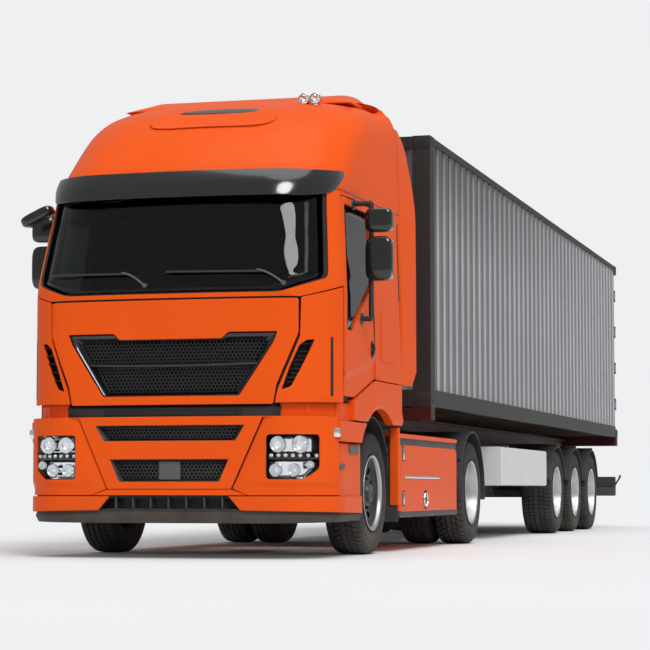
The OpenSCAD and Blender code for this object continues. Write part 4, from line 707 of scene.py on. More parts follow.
# Each finish: its colour in linear light, then what differs from the plain finish
FINISHES = {
    "orange_paint": ((0.80, 0.094, 0.009), dict(
        roughness=0.34, drift=0.10, dust=0.08, dust_colour=(0.34, 0.12, 0.05), grain=900.0,
        grain_depth=0.0001, coat_weight=0.03, coat_roughness=0.05, specular_ior_level=0.05)),
    "black_plastic": ((0.020, 0.020, 0.022), dict(roughness=0.45, grain=700.0)),
    "gloss_black": ((0.010, 0.010, 0.011), dict(roughness=0.16, coat_weight=0.5, grain_depth=0.0001)),
    "cab_trim": ((0.060, 0.060, 0.066), dict(roughness=0.78, grain=300.0, dust=0.0)),
    "chassis_steel": ((0.030, 0.029, 0.029), dict(
        roughness=0.50, metallic=0.2, wear=0.35, dust=0.35, grain=120.0)),
    "chrome": ((0.78, 0.79, 0.80), dict(roughness=0.14, metallic=1.0, dust=0.10, grain_depth=0.0001)),
    "reflector": ((0.84, 0.85, 0.87), dict(roughness=0.14, metallic=1.0, dust=0.0, grain=60.0)),
    "bead": ((0.80, 0.80, 0.78), dict(roughness=0.25, dust=0.0)),
    "tyre": ((0.016, 0.016, 0.017), dict(roughness=0.84, dust=0.30, dust_height=0.9, grain=500.0)),
    "black_rim": ((0.018, 0.018, 0.019), dict(roughness=0.38, dust=0.25, dust_height=0.9)),
    "silver_rim": ((0.56, 0.57, 0.58), dict(
        roughness=0.36, metallic=0.85, dust=0.22, dust_height=0.9, grain=200.0, stretch=(8, 1, 1))),
    # The trailer's own dark red, darkened further as painted shade for the shadow under the container
    "trailer_paint": ((0.045, 0.004, 0.006), dict(
        roughness=0.52, wear=0.08, wear_colour=(0.10, 0.05, 0.05), dust=0.15, specular_ior_level=0.25)),
    "white_paint": ((0.74, 0.74, 0.72), dict(roughness=0.38, dust=0.25, coat_weight=0.3)),
    "container_frame_paint": ((0.014, 0.013, 0.013), dict(
        roughness=0.55, drift=0.35, wear=0.30, wear_colour=(0.10, 0.06, 0.04), grain=90.0)),
    # The container's grey, with painted light and shade on its corrugated sides and painted shade at the top
    # front
    "container_paint": ((0.465, 0.475, 0.490), dict(
        roughness=0.46, drift=0.30, drift_scale=1.1, wear=0.15, wear_colour=(0.30, 0.30, 0.30), grain=70.0,
        valleys=True)),
    "amber_lens": ((0.75, 0.20, 0.015), dict(roughness=0.18, coat_weight=0.6, dust=0.1)),
    "red_lens": ((0.45, 0.008, 0.008), dict(roughness=0.18, coat_weight=0.6, dust=0.1)),
    "lip_plastic": ((0.042, 0.034, 0.031), dict(roughness=0.55, grain=600.0, specular_ior_level=0.3)),
    "grey_plastic": ((0.085, 0.085, 0.088), dict(roughness=0.50, grain=600.0)),
    "seal": ((0.008, 0.008, 0.008), dict(roughness=0.65, dust=0.05)),
}


# Finishes with a maker of their own: the maker, then what it is given after the name
SPECIAL_FINISHES = {
    "glass": (glass, (0.24, 0.26, 0.27), 0.02, 1.30),
    "dark_glass": (glass, (0.050, 0.055, 0.058), 0.02, 1.45),
    "lamp_lens": (glass, (0.97, 0.98, 0.98), 0.01, 1.12),
    "seat_cloth": (cloth, (0.050, 0.050, 0.058), 160.0),
    "floor_boards": (boards, (0.10, 0.060, 0.034)),
}

# Slots of the finishes that share another finish's slot
SLOT_OF = {
    "gloss_black": "black_plastic", "grey_plastic": "black_plastic", "lip_plastic": "black_plastic",
    "seal": "black_plastic", "dark_glass": "glass", "reflector": "lamp_lens", "bead": "lamp_lens",
    "red_lens": "lamp_lens", "amber_lens": "lamp_lens",
}


def look(name):
    """The finish of this name, made the first time it is asked for."""
    own = "lorry_" + name
    made = bpy.data.materials.get(own)
    if made:
        return made
    if name in SPECIAL_FINISHES:
        maker, *settings = SPECIAL_FINISHES[name]
        return maker(own, *settings)
    colour, settings = FINISHES[name]
    return finish(own, colour, **settings)


# Making pieces


def shade(mesh, angle=HARD_EDGE):
    """Smooth shading, with edges sharper than the angle left hard."""
    mesh.shade_smooth()
    mesh.set_sharp_from_angle(angle=math.radians(angle))


def round_edges(piece, width):
    """Rounds the sharp edges and spreads the shading so that flat faces stay flat."""
    edge = piece.modifiers.new("Rounding", "BEVEL")
    edge.width = width
    edge.segments = 2
    edge.limit_method = "ANGLE"
    edge.angle_limit = math.radians(HARD_EDGE)
    piece.modifiers.new("Shading", "WEIGHTED_NORMAL")


def settle(piece, material, body, slot, stands_for):
    """Links a finished object, gives it its material and its body, and hides the nodes that it stands for."""
    bpy.context.scene.collection.objects.link(piece)
    piece.data.materials.append(look(material))
    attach(piece, body)
    slot = slot or SLOT_OF.get(material, material)
    if stands_for:
        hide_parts(*stands_for)
    return piece


def add_piece(
    name, shape, material, body, stands_for=(), wall=0.0, rounding=0.0, away_from=None, angle=HARD_EDGE,
    slot=None,
):
    """Object from a shape. Sheets turn their faces away from a point and get a wall behind them."""
    mesh = bpy.data.meshes.new(name)
    mesh.from_pydata((shape.points + (0.0, ZERO_Y, 0.0)).tolist(), [], shape.faces)
    work = bmesh.new()
    work.from_mesh(mesh)
    bmesh.ops.remove_doubles(work, verts=work.verts[:], dist=WELD)
    bmesh.ops.recalc_face_normals(work, faces=work.faces[:])
    if away_from is not None:
        inside = Vector(away_from) + Vector((0.0, ZERO_Y, 0.0))
        wrong = [f for f in work.faces if f.normal.dot(f.calc_center_median() - inside) < 0]
        bmesh.ops.reverse_faces(work, faces=wrong)
    work.to_mesh(mesh)
    work.free()
    shade(mesh, angle)
    piece = bpy.data.objects.new(name, mesh)
    if wall:
        thick = piece.modifiers.new("Wall", "SOLIDIFY")
        thick.thickness = wall
        thick.offset = -1
        thick.use_even_offset = True
    if rounding:
        round_edges(piece, rounding)
    return settle(piece, material, body, slot, stands_for)


def add_panel(name, shape, body, sizes, away_from, stands_for=()):
    """Painted panel with the wall and the rounding that all panels share."""
    return add_piece(
        name, shape, "orange_paint", body, stands_for, sizes.thickness, sizes.rounding, away_from
    )


def add_cad_copy(name, node, material, body, rounding):
    """Copy of a CAD node, its split corners joined and its flat faces merged, with rounded edges."""
    work = bmesh.new()
    work.from_mesh(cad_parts[node].data)
    bmesh.ops.remove_doubles(work, verts=work.verts[:], dist=WELD)
    bmesh.ops.dissolve_limit(work, angle_limit=math.radians(0.6), verts=work.verts[:], edges=work.edges[:])
    bmesh.ops.recalc_face_normals(work, faces=work.faces[:])
    mesh = bpy.data.meshes.new(name)
    work.to_mesh(mesh)
    work.free()
    shade(mesh)
    piece = bpy.data.objects.new(name, mesh)
    round_edges(piece, rounding)
    return settle(piece, material, body, None, (node,))


def dress(material, *nodes):
    """Gives shown CAD nodes their material."""
    for node in nodes:
        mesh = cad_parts[node].data
        mesh.materials.clear()
        mesh.materials.append(look(material))


CAB_INSIDE = (0.0, 1.3, 2.2)
BUMPER_INSIDE = (0.0, 1.0, 0.75)


def door_edge(z):
    """Station of the door's front edge at a height: upright to the belt, then raked."""
    share = np.clip((np.asarray(z, float) - BELT) / (DOOR_TOP - BELT), 0, None)
    return DOOR_FRONT + (DOOR_FRONT_TOP - DOOR_FRONT) * share


def mixed_points(skin, corners):
    """Corners of a panel that wraps the front corner: each is given across the front or along the side."""
    rows = [
        (skin.across(place, z) if kind == "front" else skin.along(place, z), z)
        for kind, place, z in corners
    ]
    return np.array(rows, float)


# Front of the cab

SCREEN = [(-0.835, 1.985), (0.835, 1.985), (1.150, 2.105), (1.085, 2.790), (-1.085, 2.790), (-1.150, 2.105)]
FLAP = [
    (-0.797, 1.150), (0.797, 1.150), (0.822, 1.292), (0.982, 1.682), (0.982, 1.938), (0.50, 1.938),
    (0.42, 1.938), (-0.42, 1.938), (-0.50, 1.938), (-0.982, 1.938), (-0.982, 1.682), (-0.822, 1.292),
]
GRILLE = [
    (-0.540, 1.214), (0.540, 1.214), (0.660, 1.395), (0.800, 1.610), (0.832, 1.690), (0.455, 1.690),
    (0.405, 1.642), (-0.405, 1.642), (-0.455, 1.690), (-0.832, 1.690), (-0.800, 1.610), (-0.660, 1.395),
]
MESH_EDGE = [
    (-0.500, 1.236), (0.500, 1.236), (0.600, 1.395), (0.705, 1.560), (0.735, 1.628), (0.455, 1.628),
    (0.405, 1.622), (-0.405, 1.622), (-0.455, 1.628), (-0.735, 1.628), (-0.705, 1.560), (-0.600, 1.395),
]


def honeycomb(skin, inside, cell, bar, depth, thick):
    """Mesh of joined hexagon rings: cells in staggered rows, each a ring with its bore walls."""
    low = np.min(inside, 0)
    high = np.max(inside, 0)
    rows = np.arange(low[1], high[1], cell * 0.75)
    cols = np.arange(low[0], high[0] + cell, cell * math.sqrt(0.75))
    z, x = np.meshgrid(rows, cols, indexing="ij")
    x = x + (np.arange(len(rows)) % 2)[:, None] * cell * math.sqrt(0.75) / 2
    middle = np.stack([x.ravel(), z.ravel()], -1)
    ahead = np.roll(inside, -1, 0) - inside
    off = middle[:, None] - inside[None]
    within = (ahead[None, :, 0] * off[..., 1] - ahead[None, :, 1] * off[..., 0] > 0).all(1)
    middle = middle[within]
    turn = np.radians(np.arange(6) * 60 + 30)
    hexagon = np.stack([np.cos(turn), np.sin(turn)], -1)
    rims = [(cell / 2, depth), (cell / 2 - bar, depth), (cell / 2 - bar, depth + thick)]
    flat = np.stack([middle[:, None] + hexagon[None] * r for r, _ in rims], 1)
    sunk = np.array([d for _, d in rims])[None, :, None]
    a = skin.across(flat[..., 0], flat[..., 1])
    points = skin.lay(a, flat[..., 1], np.broadcast_to(sunk, a.shape))
    faces = quads(len(rims), 6, close_cols=True)
    count = len(middle)
    every = (faces[None] + len(rims) * 6 * np.arange(count)[:, None, None]).reshape(-1, 4)
    return Shape().add(points, every)


def build_flap(sizes, mesh):
    """Lifting front panel with its black grille: a wide frame, mesh on a dark backing and a curved blade."""
    edge = CAB.front_loop(FLAP, 0.016, 8, 4)
    hole = CAB.front_loop(GRILLE, 0.016, 8, 4)
    panel = CAB.ring(hole, edge, 9)
    add_panel("flap_panel", panel, "front_flap", sizes, CAB_INSIDE, ("front_flap",))
    inner = CAB.front_loop(MESH_EDGE, 0.016, 8, 4)
    share = np.linspace(0, 1, 6)
    sunk = np.interp(share, [0, 0.55, 0.8, 1], [0.058, 0.016, 0.012, 0.020])[:, None]
    surround = CAB.ring(inner, hole, 6, sunk)
    add_piece(
        "grille_frame", surround, "gloss_black", "front_flap", ("grille",), wall=0.012, rounding=0.003,
        away_from=CAB_INSIDE,
    )
    corners = np.asarray(MESH_EDGE)[[0, 1, 3, 4, 9, 10]]
    field = honeycomb(CAB, corners, mesh.cell, mesh.bar, 0.056, 0.02)
    add_piece("grille_mesh", field, "black_plastic", "front_flap", away_from=CAB_INSIDE)
    backing = CAB.sheet(inner, 5, 0.085)
    add_piece("grille_backing", backing, "seal", "front_flap", wall=0.004, away_from=CAB_INSIDE)
    x = np.linspace(-0.72, 0.72, 61)[:, None]
    turn = np.linspace(0, 2 * np.pi, 17)[None, :-1]
    taper = (1 - (x / 0.74) ** 6) ** 0.5
    level = 1.458 - 0.014 * (1 - (x / 0.72) ** 2) + 0.017 * taper * np.sin(turn)
    blade = CAB.lay(CAB.across(x, level), level, 0.044 - 0.030 * taper * np.cos(turn))
    add_piece("grille_blade", capped(blade), "gloss_black", "front_flap")


VENT = [
    (0.860, 1.255), (0.930, 1.280), (1.010, 1.440), (1.090, 1.634), (1.032, 1.626), (0.986, 1.588),
    (0.920, 1.430),
]


def build_screen(sizes):
    """Windscreen, its rubber, the painted surround with the pillars, and corner panels with vents."""
    screen = CAB.front_loop(SCREEN, 0.045, 14, 5)
    tight, grown = (
        CAB.front_loop(np.asarray(SCREEN) * (share, 1), 0.045, 14, 5) for share in (0.985, 1.012)
    )
    add_piece(
        "windscreen_glass", CAB.sheet(screen, 7, 0.012), "glass", "cab", ("windscreen",), wall=0.006,
        away_from=CAB_INSIDE,
    )
    edge = mixed_points(CAB, [
        ("front", -1.0, 1.953), ("front", 1.0, 1.953), ("side", float(door_edge(2.06)) - 0.006, 2.06),
        ("side", float(door_edge(HEADER)) - 0.004, HEADER - 0.003),
    ])
    edge = np.concatenate([edge, (edge * (-1, 1))[:1:-1]])
    add_panel(
        "windscreen_surround", CAB.ring(grown, loop(edge, 0.012, 14, 5), 6), "cab", sizes, CAB_INSIDE,
        ("cab_shell",),
    )
    share = np.linspace(0, 1, 4)
    sunk = np.interp(share, [0, 0.4, 1], [0.011, 0.002, 0.006])[:, None]
    rubber = CAB.ring(tight, grown, 4, sunk)
    add_piece("windscreen_rubber", rubber, "seal", "cab", wall=0.01, away_from=CAB_INSIDE)
    edge = mixed_points(CAB, [
        ("front", 0.812, 1.160), ("side", 0.249, 1.168), ("side", 0.241, 1.960), ("side", 0.241, 2.040),
        ("front", 1.000, 1.946), ("front", 0.992, 1.655), ("front", 0.836, 1.268),
    ])
    hole = CAB.front_loop(VENT, 0.014, 10, 4)
    panel = CAB.ring(hole, loop(edge, 0.012, 10, 4), 9)
    add_panel("corner_panels", panel.both_sides(), "cab", sizes, CAB_INSIDE)
    dark = CAB.sheet(hole, 4, 0.055)
    wall = CAB.ring(hole, hole, 2, np.array([[0.010], [0.056]]))
    add_piece("vent_boxes", dark.join(wall).both_sides(), "seal", "cab", wall=0.003, away_from=CAB_INSIDE)
    blades = Shape()
    for z in (1.335, 1.400, 1.465, 1.530, 1.590):
        left = float(np.interp(z, [1.255, 1.43, 1.588, 1.626], [0.860, 0.920, 0.986, 1.032]))
        right = float(np.interp(z, [1.280, 1.44, 1.634], [0.930, 1.010, 1.090]))
        x = np.linspace(left, right, 8)[None]
        rise = np.array([0.014, 0.010, -0.012])[:, None]
        sunk = np.array([0.006, 0.003, 0.040])[:, None]
        blades.grid(CAB.lay(CAB.across(x, z + rise), z + rise, sunk))
    add_piece("vent_blades", blades.both_sides(), "black_plastic", "cab", wall=0.004)


DOOR = [(0.268, 1.223), (0.560, 1.223), (1.232, 1.403), (1.232, 2.767), (0.456, 2.767), (0.268, 1.985)]
WINDOW = [(0.330, 1.725), (0.470, 1.725), (1.195, 2.165), (1.195, 2.715), (0.505, 2.715), (0.330, 1.985)]


def door_sink(points):
    """Depth of the step pressed into the door's foot: a smooth step below a line that climbs rearwards."""
    s, z = points[..., 1], points[..., 2]
    share = np.clip((s - 0.30) / 0.85, 0, 1)
    line = 1.400 + 0.125 * share**2 * (3 - 2 * share)
    below = np.clip((line - z) / 0.035, 0, 1)
    return 0.013 * below**2 * (3 - 2 * below)


def build_doors(sizes):
    """Both doors: a pressed panel round the window, its glass and seal, and a recessed handle."""
    edge = CAB.side_loop(DOOR, 0.02, 18, 5)
    hole = CAB.side_loop(WINDOW, 0.035, 18, 5)
    flat = between(hole, edge, 16)
    panel = Shape().grid(CAB.drape(flat, door_sink(CAB.drape(flat))), close_cols=True)
    pane = CAB.sheet(hole, 6, 0.013)
    inner = CAB.side_loop(resized(WINDOW, (0.80, 2.3), 0.975), 0.035, 18, 5)
    seal = CAB.ring(inner, hole, 4, np.array([[0.012], [0.004], [0.003], [0.010]]))
    cup_edge = [(1.066, 1.55), (1.146, 1.55), (1.146, 1.69), (1.066, 1.69)]
    cup = CAB.sheet(CAB.side_loop(cup_edge, 0.03, 5, 5), 4, -0.002)
    t = np.linspace(-1, 1, 15)
    grip = tube(np.stack([1.262 - 0.016 * t**2, 1.106 + 0 * t, 1.62 + 0.05 * t], -1), 0.011, 10)
    lining = CAB.ring(hole, edge, 5, 0.048)
    for name, _, turn in SIDES:
        body = "door_" + name
        add_panel(body + "_panel", turn(panel), body, sizes, CAB_INSIDE, (body,))
        add_piece(
            body + "_pane", turn(pane), "dark_glass", body, (body + "_glass",), wall=0.005,
            away_from=CAB_INSIDE,
        )
        add_piece(body + "_seal", turn(seal), "seal", body, wall=0.01, away_from=CAB_INSIDE)
        add_piece(body + "_cup", turn(cup), "black_plastic", body, wall=0.006, away_from=CAB_INSIDE)
        add_piece(body + "_grip", turn(grip), "gloss_black", body)
        add_piece(body + "_lining", turn(lining), "cab_trim", body, wall=0.01, away_from=CAB_INSIDE)


def drawn_in(rim, shares):
    """Rows that close a roof: its last row drawn in to these shares of its distance from the middle."""
    return rim[None] * np.array(shares)[:, None, None] * (1, 0, 0) + rim[None] * (0, 1, 1)


def build_cab_sides(sizes):
    """Side panels behind the doors with hatches and slots, the slots near-black strips of painted shade,
    strips over the doors, jambs, lining and back.
    """
    low, top = 1.388, 2.806
    rear = CAB.side_loop([(1.246, low), (2.146, low), (2.146, top), (1.246, top)], 0.012, 16, 4)
    over = CAB.side_loop([(0.462, 2.781), (1.242, 2.781), (1.242, top), (0.462, top)], 0.004, 14, 3)
    panels = CAB.sheet(rear, 8).join(CAB.sheet(over, 3))
    add_panel("cab_side_panels", panels.both_sides(), "cab", sizes, CAB_INSIDE)
    hatch = CAB.side_loop([(1.410, 1.545), (1.925, 1.545), (1.925, 1.935), (1.410, 1.935)], 0.03, 8, 5)
    add_piece(
        "cab_hatches", CAB.sheet(hatch, 5, -0.006).both_sides(), "orange_paint", "cab", wall=0.006,
        rounding=0.003, away_from=CAB_INSIDE,
    )
    # A gap and a line on each side as thin near-black strips laid on the skin: painted shade
    gap = CAB.side_loop([(2.030, 2.080), (2.062, 2.080), (2.088, 2.740), (2.060, 2.740)], 0.01, 8, 4)
    line = CAB.side_loop([(0.098, 1.214), (0.122, 1.214), (0.122, 1.655), (0.098, 1.655)], 0.008, 8, 4)
    dark = CAB.sheet(gap, 3, -0.0015).join(CAB.sheet(line, 3, -0.0015))
    add_piece("cab_slot_shades", dark.both_sides(), "seal", "cab", wall=0.004, away_from=CAB_INSIDE)
    tight, wide = (
        CAB.side_loop(resized(DOOR, (0.78, 2.0), share), 0.03, 14, 5)
        for share in ((0.93, 0.955), (1.07, 1.045))
    )
    jamb = CAB.ring(tight, wide, 4, 0.062)
    add_piece("door_jambs", jamb.both_sides(), "cab_trim", "cab", wall=0.006, away_from=CAB_INSIDE)
    bulkhead = slab((-0.970, -0.006, 1.148), (0.970, 0.002, 1.972), 0.003)
    bulkhead.join(slab((-0.970, 0.058, 1.138), (0.970, 0.066, 1.298), 0.003))
    add_piece("cab_bulkhead", bulkhead, "cab_trim", "cab")
    lining = CAB.side_loop([(1.262, 1.402), (2.100, 1.402), (2.100, 2.800), (1.262, 2.800)], 0.012, 16, 4)
    inside = CAB.sheet(lining, 6, 0.050).both_sides()
    z = np.linspace(HEADER + 0.01, ROOF_TOP - 0.09, 16)[:, None]
    u = np.linspace(-1, 1, 61)[None]
    dome = CAB.lay(u * CAB.along(CAB_BACK - 0.05, z), z, 0.050)
    inside.grid(np.concatenate([dome, drawn_in(dome[-1], [0.9, 0.6, 0.3, 0.0])]))
    z = np.linspace(1.402, ROOF_TOP - 0.09, 16)[:, None]
    half = CAB.lay(CAB.along(CAB_BACK - 0.05, z), z, 0.050)[..., 0]
    inside.grid(np.stack([u * half, CAB_BACK - 0.05 + 0 * u * z, z + 0 * u], -1))
    add_piece("cab_lining", inside, "cab_trim", "cab", wall=0.004)
    z = np.linspace(low, ROOF_TOP - 0.004, 60)[:, None]
    u = np.linspace(-1, 1, 97)[None]
    half = CAB.lay(CAB.along(CAB_BACK, z), z)[..., 0]
    rib = np.clip(np.cos(12 * np.pi * u) * 3, -1, 1)
    s = CAB_BACK - 0.004 - 0.005 * (1 - rib) * (np.abs(u) < 0.92)
    back = np.stack([u * half, s + 0 * z, z + 0 * u], -1)
    add_piece("cab_back", Shape().grid(back), "orange_paint", "cab", wall=0.01, away_from=CAB_INSIDE)


HATCH_MIDDLE = np.array([0.055, 3.47])


def build_roof():
    """High roof: the cab's form drawn back to the crown, a raised lip, an oval hatch, a slit and lamps."""
    t = np.linspace(0, 1, 44)[:, None]
    z = HEADER + 0.002 + (ROOF_TOP - HEADER - 0.002) * (1 - (1 - t) ** 1.8)
    u = np.linspace(-1, 1, 121)[None]
    wall = CAB.lay(u * CAB.along(CAB_BACK - 0.002, z), z)
    roof = Shape().grid(np.concatenate([wall, drawn_in(wall[-1], [0.9, 0.7, 0.45, 0.2, 0.0])]))
    add_piece(
        "roof_panel", roof, "orange_paint", "cab", ("cab_roof",), wall=0.012, away_from=(0.0, 1.8, 3.0),
    )
    x = np.linspace(-1, 1, 81)[:, None]
    foot, rear = 3.672, CAB_BACK - 0.003
    profile = loop([(1.46, foot), (rear, foot), (rear, 3.846), (1.90, 3.815), (1.52, 3.712)], 0.05, 8, 6)
    drop = np.clip((np.abs(x) - 0.80) / 0.20, 0, 1)
    squash = 1 - 0.75 * drop**2
    lip = np.stack([
        0.975 * x + 0 * profile[None, :, 0], profile[None, :, 0] + 0 * x,
        foot + (profile[None, :, 1] - foot) * squash,
    ], -1)
    add_piece("roof_lip", capped(lip), "orange_paint", "cab")
    turn = np.linspace(0, 2 * np.pi, 72, endpoint=False)
    oval = np.stack([0.52 * np.cos(turn), 0.155 * np.sin(turn) - 0.045 * np.cos(2 * turn)], -1)
    share = np.concatenate([[1.0, 0.97], np.linspace(0.9, 0.02, 6)])[:, None, None]
    rings = HATCH_MIDDLE + oval[None] * share
    sunk = np.array([0.004, -0.012, -0.004, 0.010, 0.016, 0.018, 0.019, 0.019])[:, None]
    hatch = CAB.drape(rings, sunk - 0.010)
    add_piece(
        "roof_hatch", Shape().grid(hatch, close_cols=True).cap(hatch[-1]), "orange_paint", "cab",
        wall=0.006, away_from=(0.0, 1.8, 2.6),
    )
    slit = np.stack([0.06 + 0.36 * np.cos(turn), 3.535 + 0.030 * np.sin(turn)], -1)
    add_piece(
        "roof_slit", CAB.sheet(slit, 4, -0.004), "gloss_black", "cab", wall=0.006,
        away_from=(0.0, 1.8, 2.6),
    )
    low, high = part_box("roof_lamps")
    lens_s = low.y - ZERO_Y
    lamps, glasses = Shape(), Shape()
    r = 0.045
    for x0 in (low.x + r, high.x - r):
        centre = (x0, lens_s, high.z - r)
        for kind, profile in (
            (lamps, [(0.0, 0.93 * r), (0.004, r), (0.05, r), (0.085, 0.8 * r), (0.105, 0.4 * r)]),
            (lamps, [(0.012, 0.93 * r), (0.028, 0.6 * r), (0.04, 0.2 * r), (0.042, 0.001)]),
            (glasses, [(0.012, 0.92 * r), (0.004, 0.7 * r), (0.001, 0.3 * r), (0.0, 0.001)]),
        ):
            kind.join(turned(profile, centre, 28, "s", closed=False))
        top = (x0 + 0.02, lens_s + 0.09, high.z - 1.4 * r)
        lamps.join(slab((x0 - 0.02, lens_s + 0.02, low.z), top, 0.008))
    add_piece("roof_lamp_pods", lamps, "chrome", "cab", ("roof_lamps",))
    add_piece("roof_lamp_glasses", glasses, "lamp_lens", "cab", wall=0.002)


def build_visor():
    """Sun visor: a thin bent sheet that stands off the header, drawn up at its ends, on short stays."""
    low, high = 2.728, 2.940
    fronts = [CAB_FRONT + HALF_CAB * setback - 0.116 for setback in (0.145, 0.232)]
    skin = Skin([low, high], [[0.925 * HALF_CAB, front, 0.037, 0.454, 0.0] for front in fronts], CAB_BACK)
    end = float(skin.along(0.50, low))
    u = np.linspace(-1, 1, 101)[None]
    t = np.linspace(0, 1, 9)[:, None]
    lift = np.clip((np.abs(u) - 0.62) / 0.38, 0, 1) ** 2
    z = (1 - t) * (low + 0.135 * lift) + t * (high + 0.045 * lift)
    sheet = skin.lay(u * end, z, 0.006 - 0.012 * np.sin(np.pi * t))
    add_piece(
        "visor_sheet", Shape().grid(sheet), "gloss_black", "cab", ("sun_visor",), wall=0.010,
        rounding=0.003, away_from=CAB_INSIDE,
    )
    stays = Shape()
    for x in (-0.72, -0.21, 0.21, 0.72):
        s0 = float(skin.lay(skin.across(x, 2.85), 2.85)[1])
        stays.join(slab((x - 0.02, s0 + 0.010, 2.835), (x + 0.02, s0 + 0.14, 2.865), 0.008))
    add_piece("visor_stays", stays, "black_plastic", "cab")


# Bumper

TRAPEZE_TOP = 0.733
TRAPEZE_LOW = 0.490
# Each bumper slot: its low and high edge, then half its width at each
BUMPER_SLOTS = ((0.574, 0.742, 0.395, 0.470), (0.879, 0.995, 0.520, 0.590))
LAMP_HOLE = [(0.752, 0.592), (1.035, 0.592), (1.128, 0.672), (1.128, 0.925), (0.752, 0.925)]


def trapeze(z):
    """Half width of the bumper's middle panel at a height."""
    return np.interp(z, [0.520, BUMPER_TOP], [TRAPEZE_LOW, TRAPEZE_TOP])


def corner_sink(flat):
    """Depth of the bumper's corner: a hollow along the slanted seam and a fold that sets off the foot."""
    a, z = flat[..., 0], flat[..., 1]
    near = np.clip(1 - (a - trapeze(z)) / 0.13, 0, 1)
    fold = np.clip((0.575 - z) / 0.045, 0, 1)
    return 0.020 * near**2 + 0.012 * fold**2 * (3 - 2 * fold) * np.clip((a - 0.60) / 0.2, 0, 1)


def arch(s):
    """Height of the wheel arch's edge at a station: half an ellipse over the front wheel."""
    return ARCH_FOOT + ARCH_RISE * np.sqrt(np.clip(1 - ((s - AXLE_AT) / ARCH_HALF) ** 2, 0, 1))


def build_bumper_sides(sizes):
    """Bumper ends beside the wheel: a sunk panel with clips, a leg of the arch, a lamp and a step band."""
    edge = BUMPER.side_loop([(0.186, 0.342), (0.780, 0.342), (0.780, 0.864), (0.150, 0.864)], 0.012, 14, 4)
    add_panel("bumper_sides", BUMPER.sheet(edge, 6, 0.026).both_sides(), "tractor", sizes, BUMPER_INSIDE)
    t = np.linspace(0, 1, 12)
    low, high = 0.876, 1.034
    z = low + (high - low) * t
    rear = AXLE_AT - ARCH_HALF * np.sqrt(1 - ((z - ARCH_FOOT) / ARCH_RISE) ** 2)
    outline = np.concatenate([
        np.column_stack([np.linspace(0.160, rear[0], 14)[:-1], np.full(13, low)]),
        np.column_stack([rear, z])[:-1],
        np.column_stack([np.linspace(rear[-1], 0.145, 16)[:-1], np.full(15, high)]),
        np.column_stack([np.linspace(0.145, 0.160, 4)[:-1], np.linspace(high, low, 4)[:-1]]),
    ])
    x = np.array([1.120, 1.228, 1.240, 1.244])[:, None]
    shrink = np.array([1.0, 1.0, 0.985, 0.955])[:, None, None]
    middle = outline.mean(0)
    rings = middle + (outline - middle)[None] * shrink
    leg = np.concatenate([np.broadcast_to(x, rings.shape[:2])[..., None], rings], -1)
    add_piece("arch_legs", capped(leg).both_sides(), "orange_paint", "tractor", rounding=0.003)
    clips = slabs([
        ((1.195, 0.200, 0.672), (1.234, 0.330, 0.712)), ((1.195, 0.215, 0.350), (1.234, 0.360, 0.392)),
        ((1.195, 0.470, 0.790), (1.234, 0.740, 0.858)),
    ], 0.014)
    add_piece("bumper_clips", clips.both_sides(), "grey_plastic", "tractor")
    lamp = slab((1.196, 0.094, 0.905), (1.240, 0.168, 0.977), 0.010)
    add_piece("side_lamps", lamp.both_sides(), "reflector", "tractor")
    z = np.linspace(1.020, 1.172, 6)[:, None]
    start = CAB.across(0.84, z)
    end = CAB.along(0.62, z)
    u = np.linspace(0, 1, 81)[None]
    a = start + (end - start) * u
    rib = np.exp(-((u - 0.22) / 0.018) ** 2) + np.exp(-((u - 0.52) / 0.018) ** 2)
    band = Shape().grid(CAB.lay(a, z, 0.046 - 0.014 * rib))
    add_piece("step_bands", band.both_sides(), "orange_paint", "tractor", wall=0.008, away_from=CAB_INSIDE)


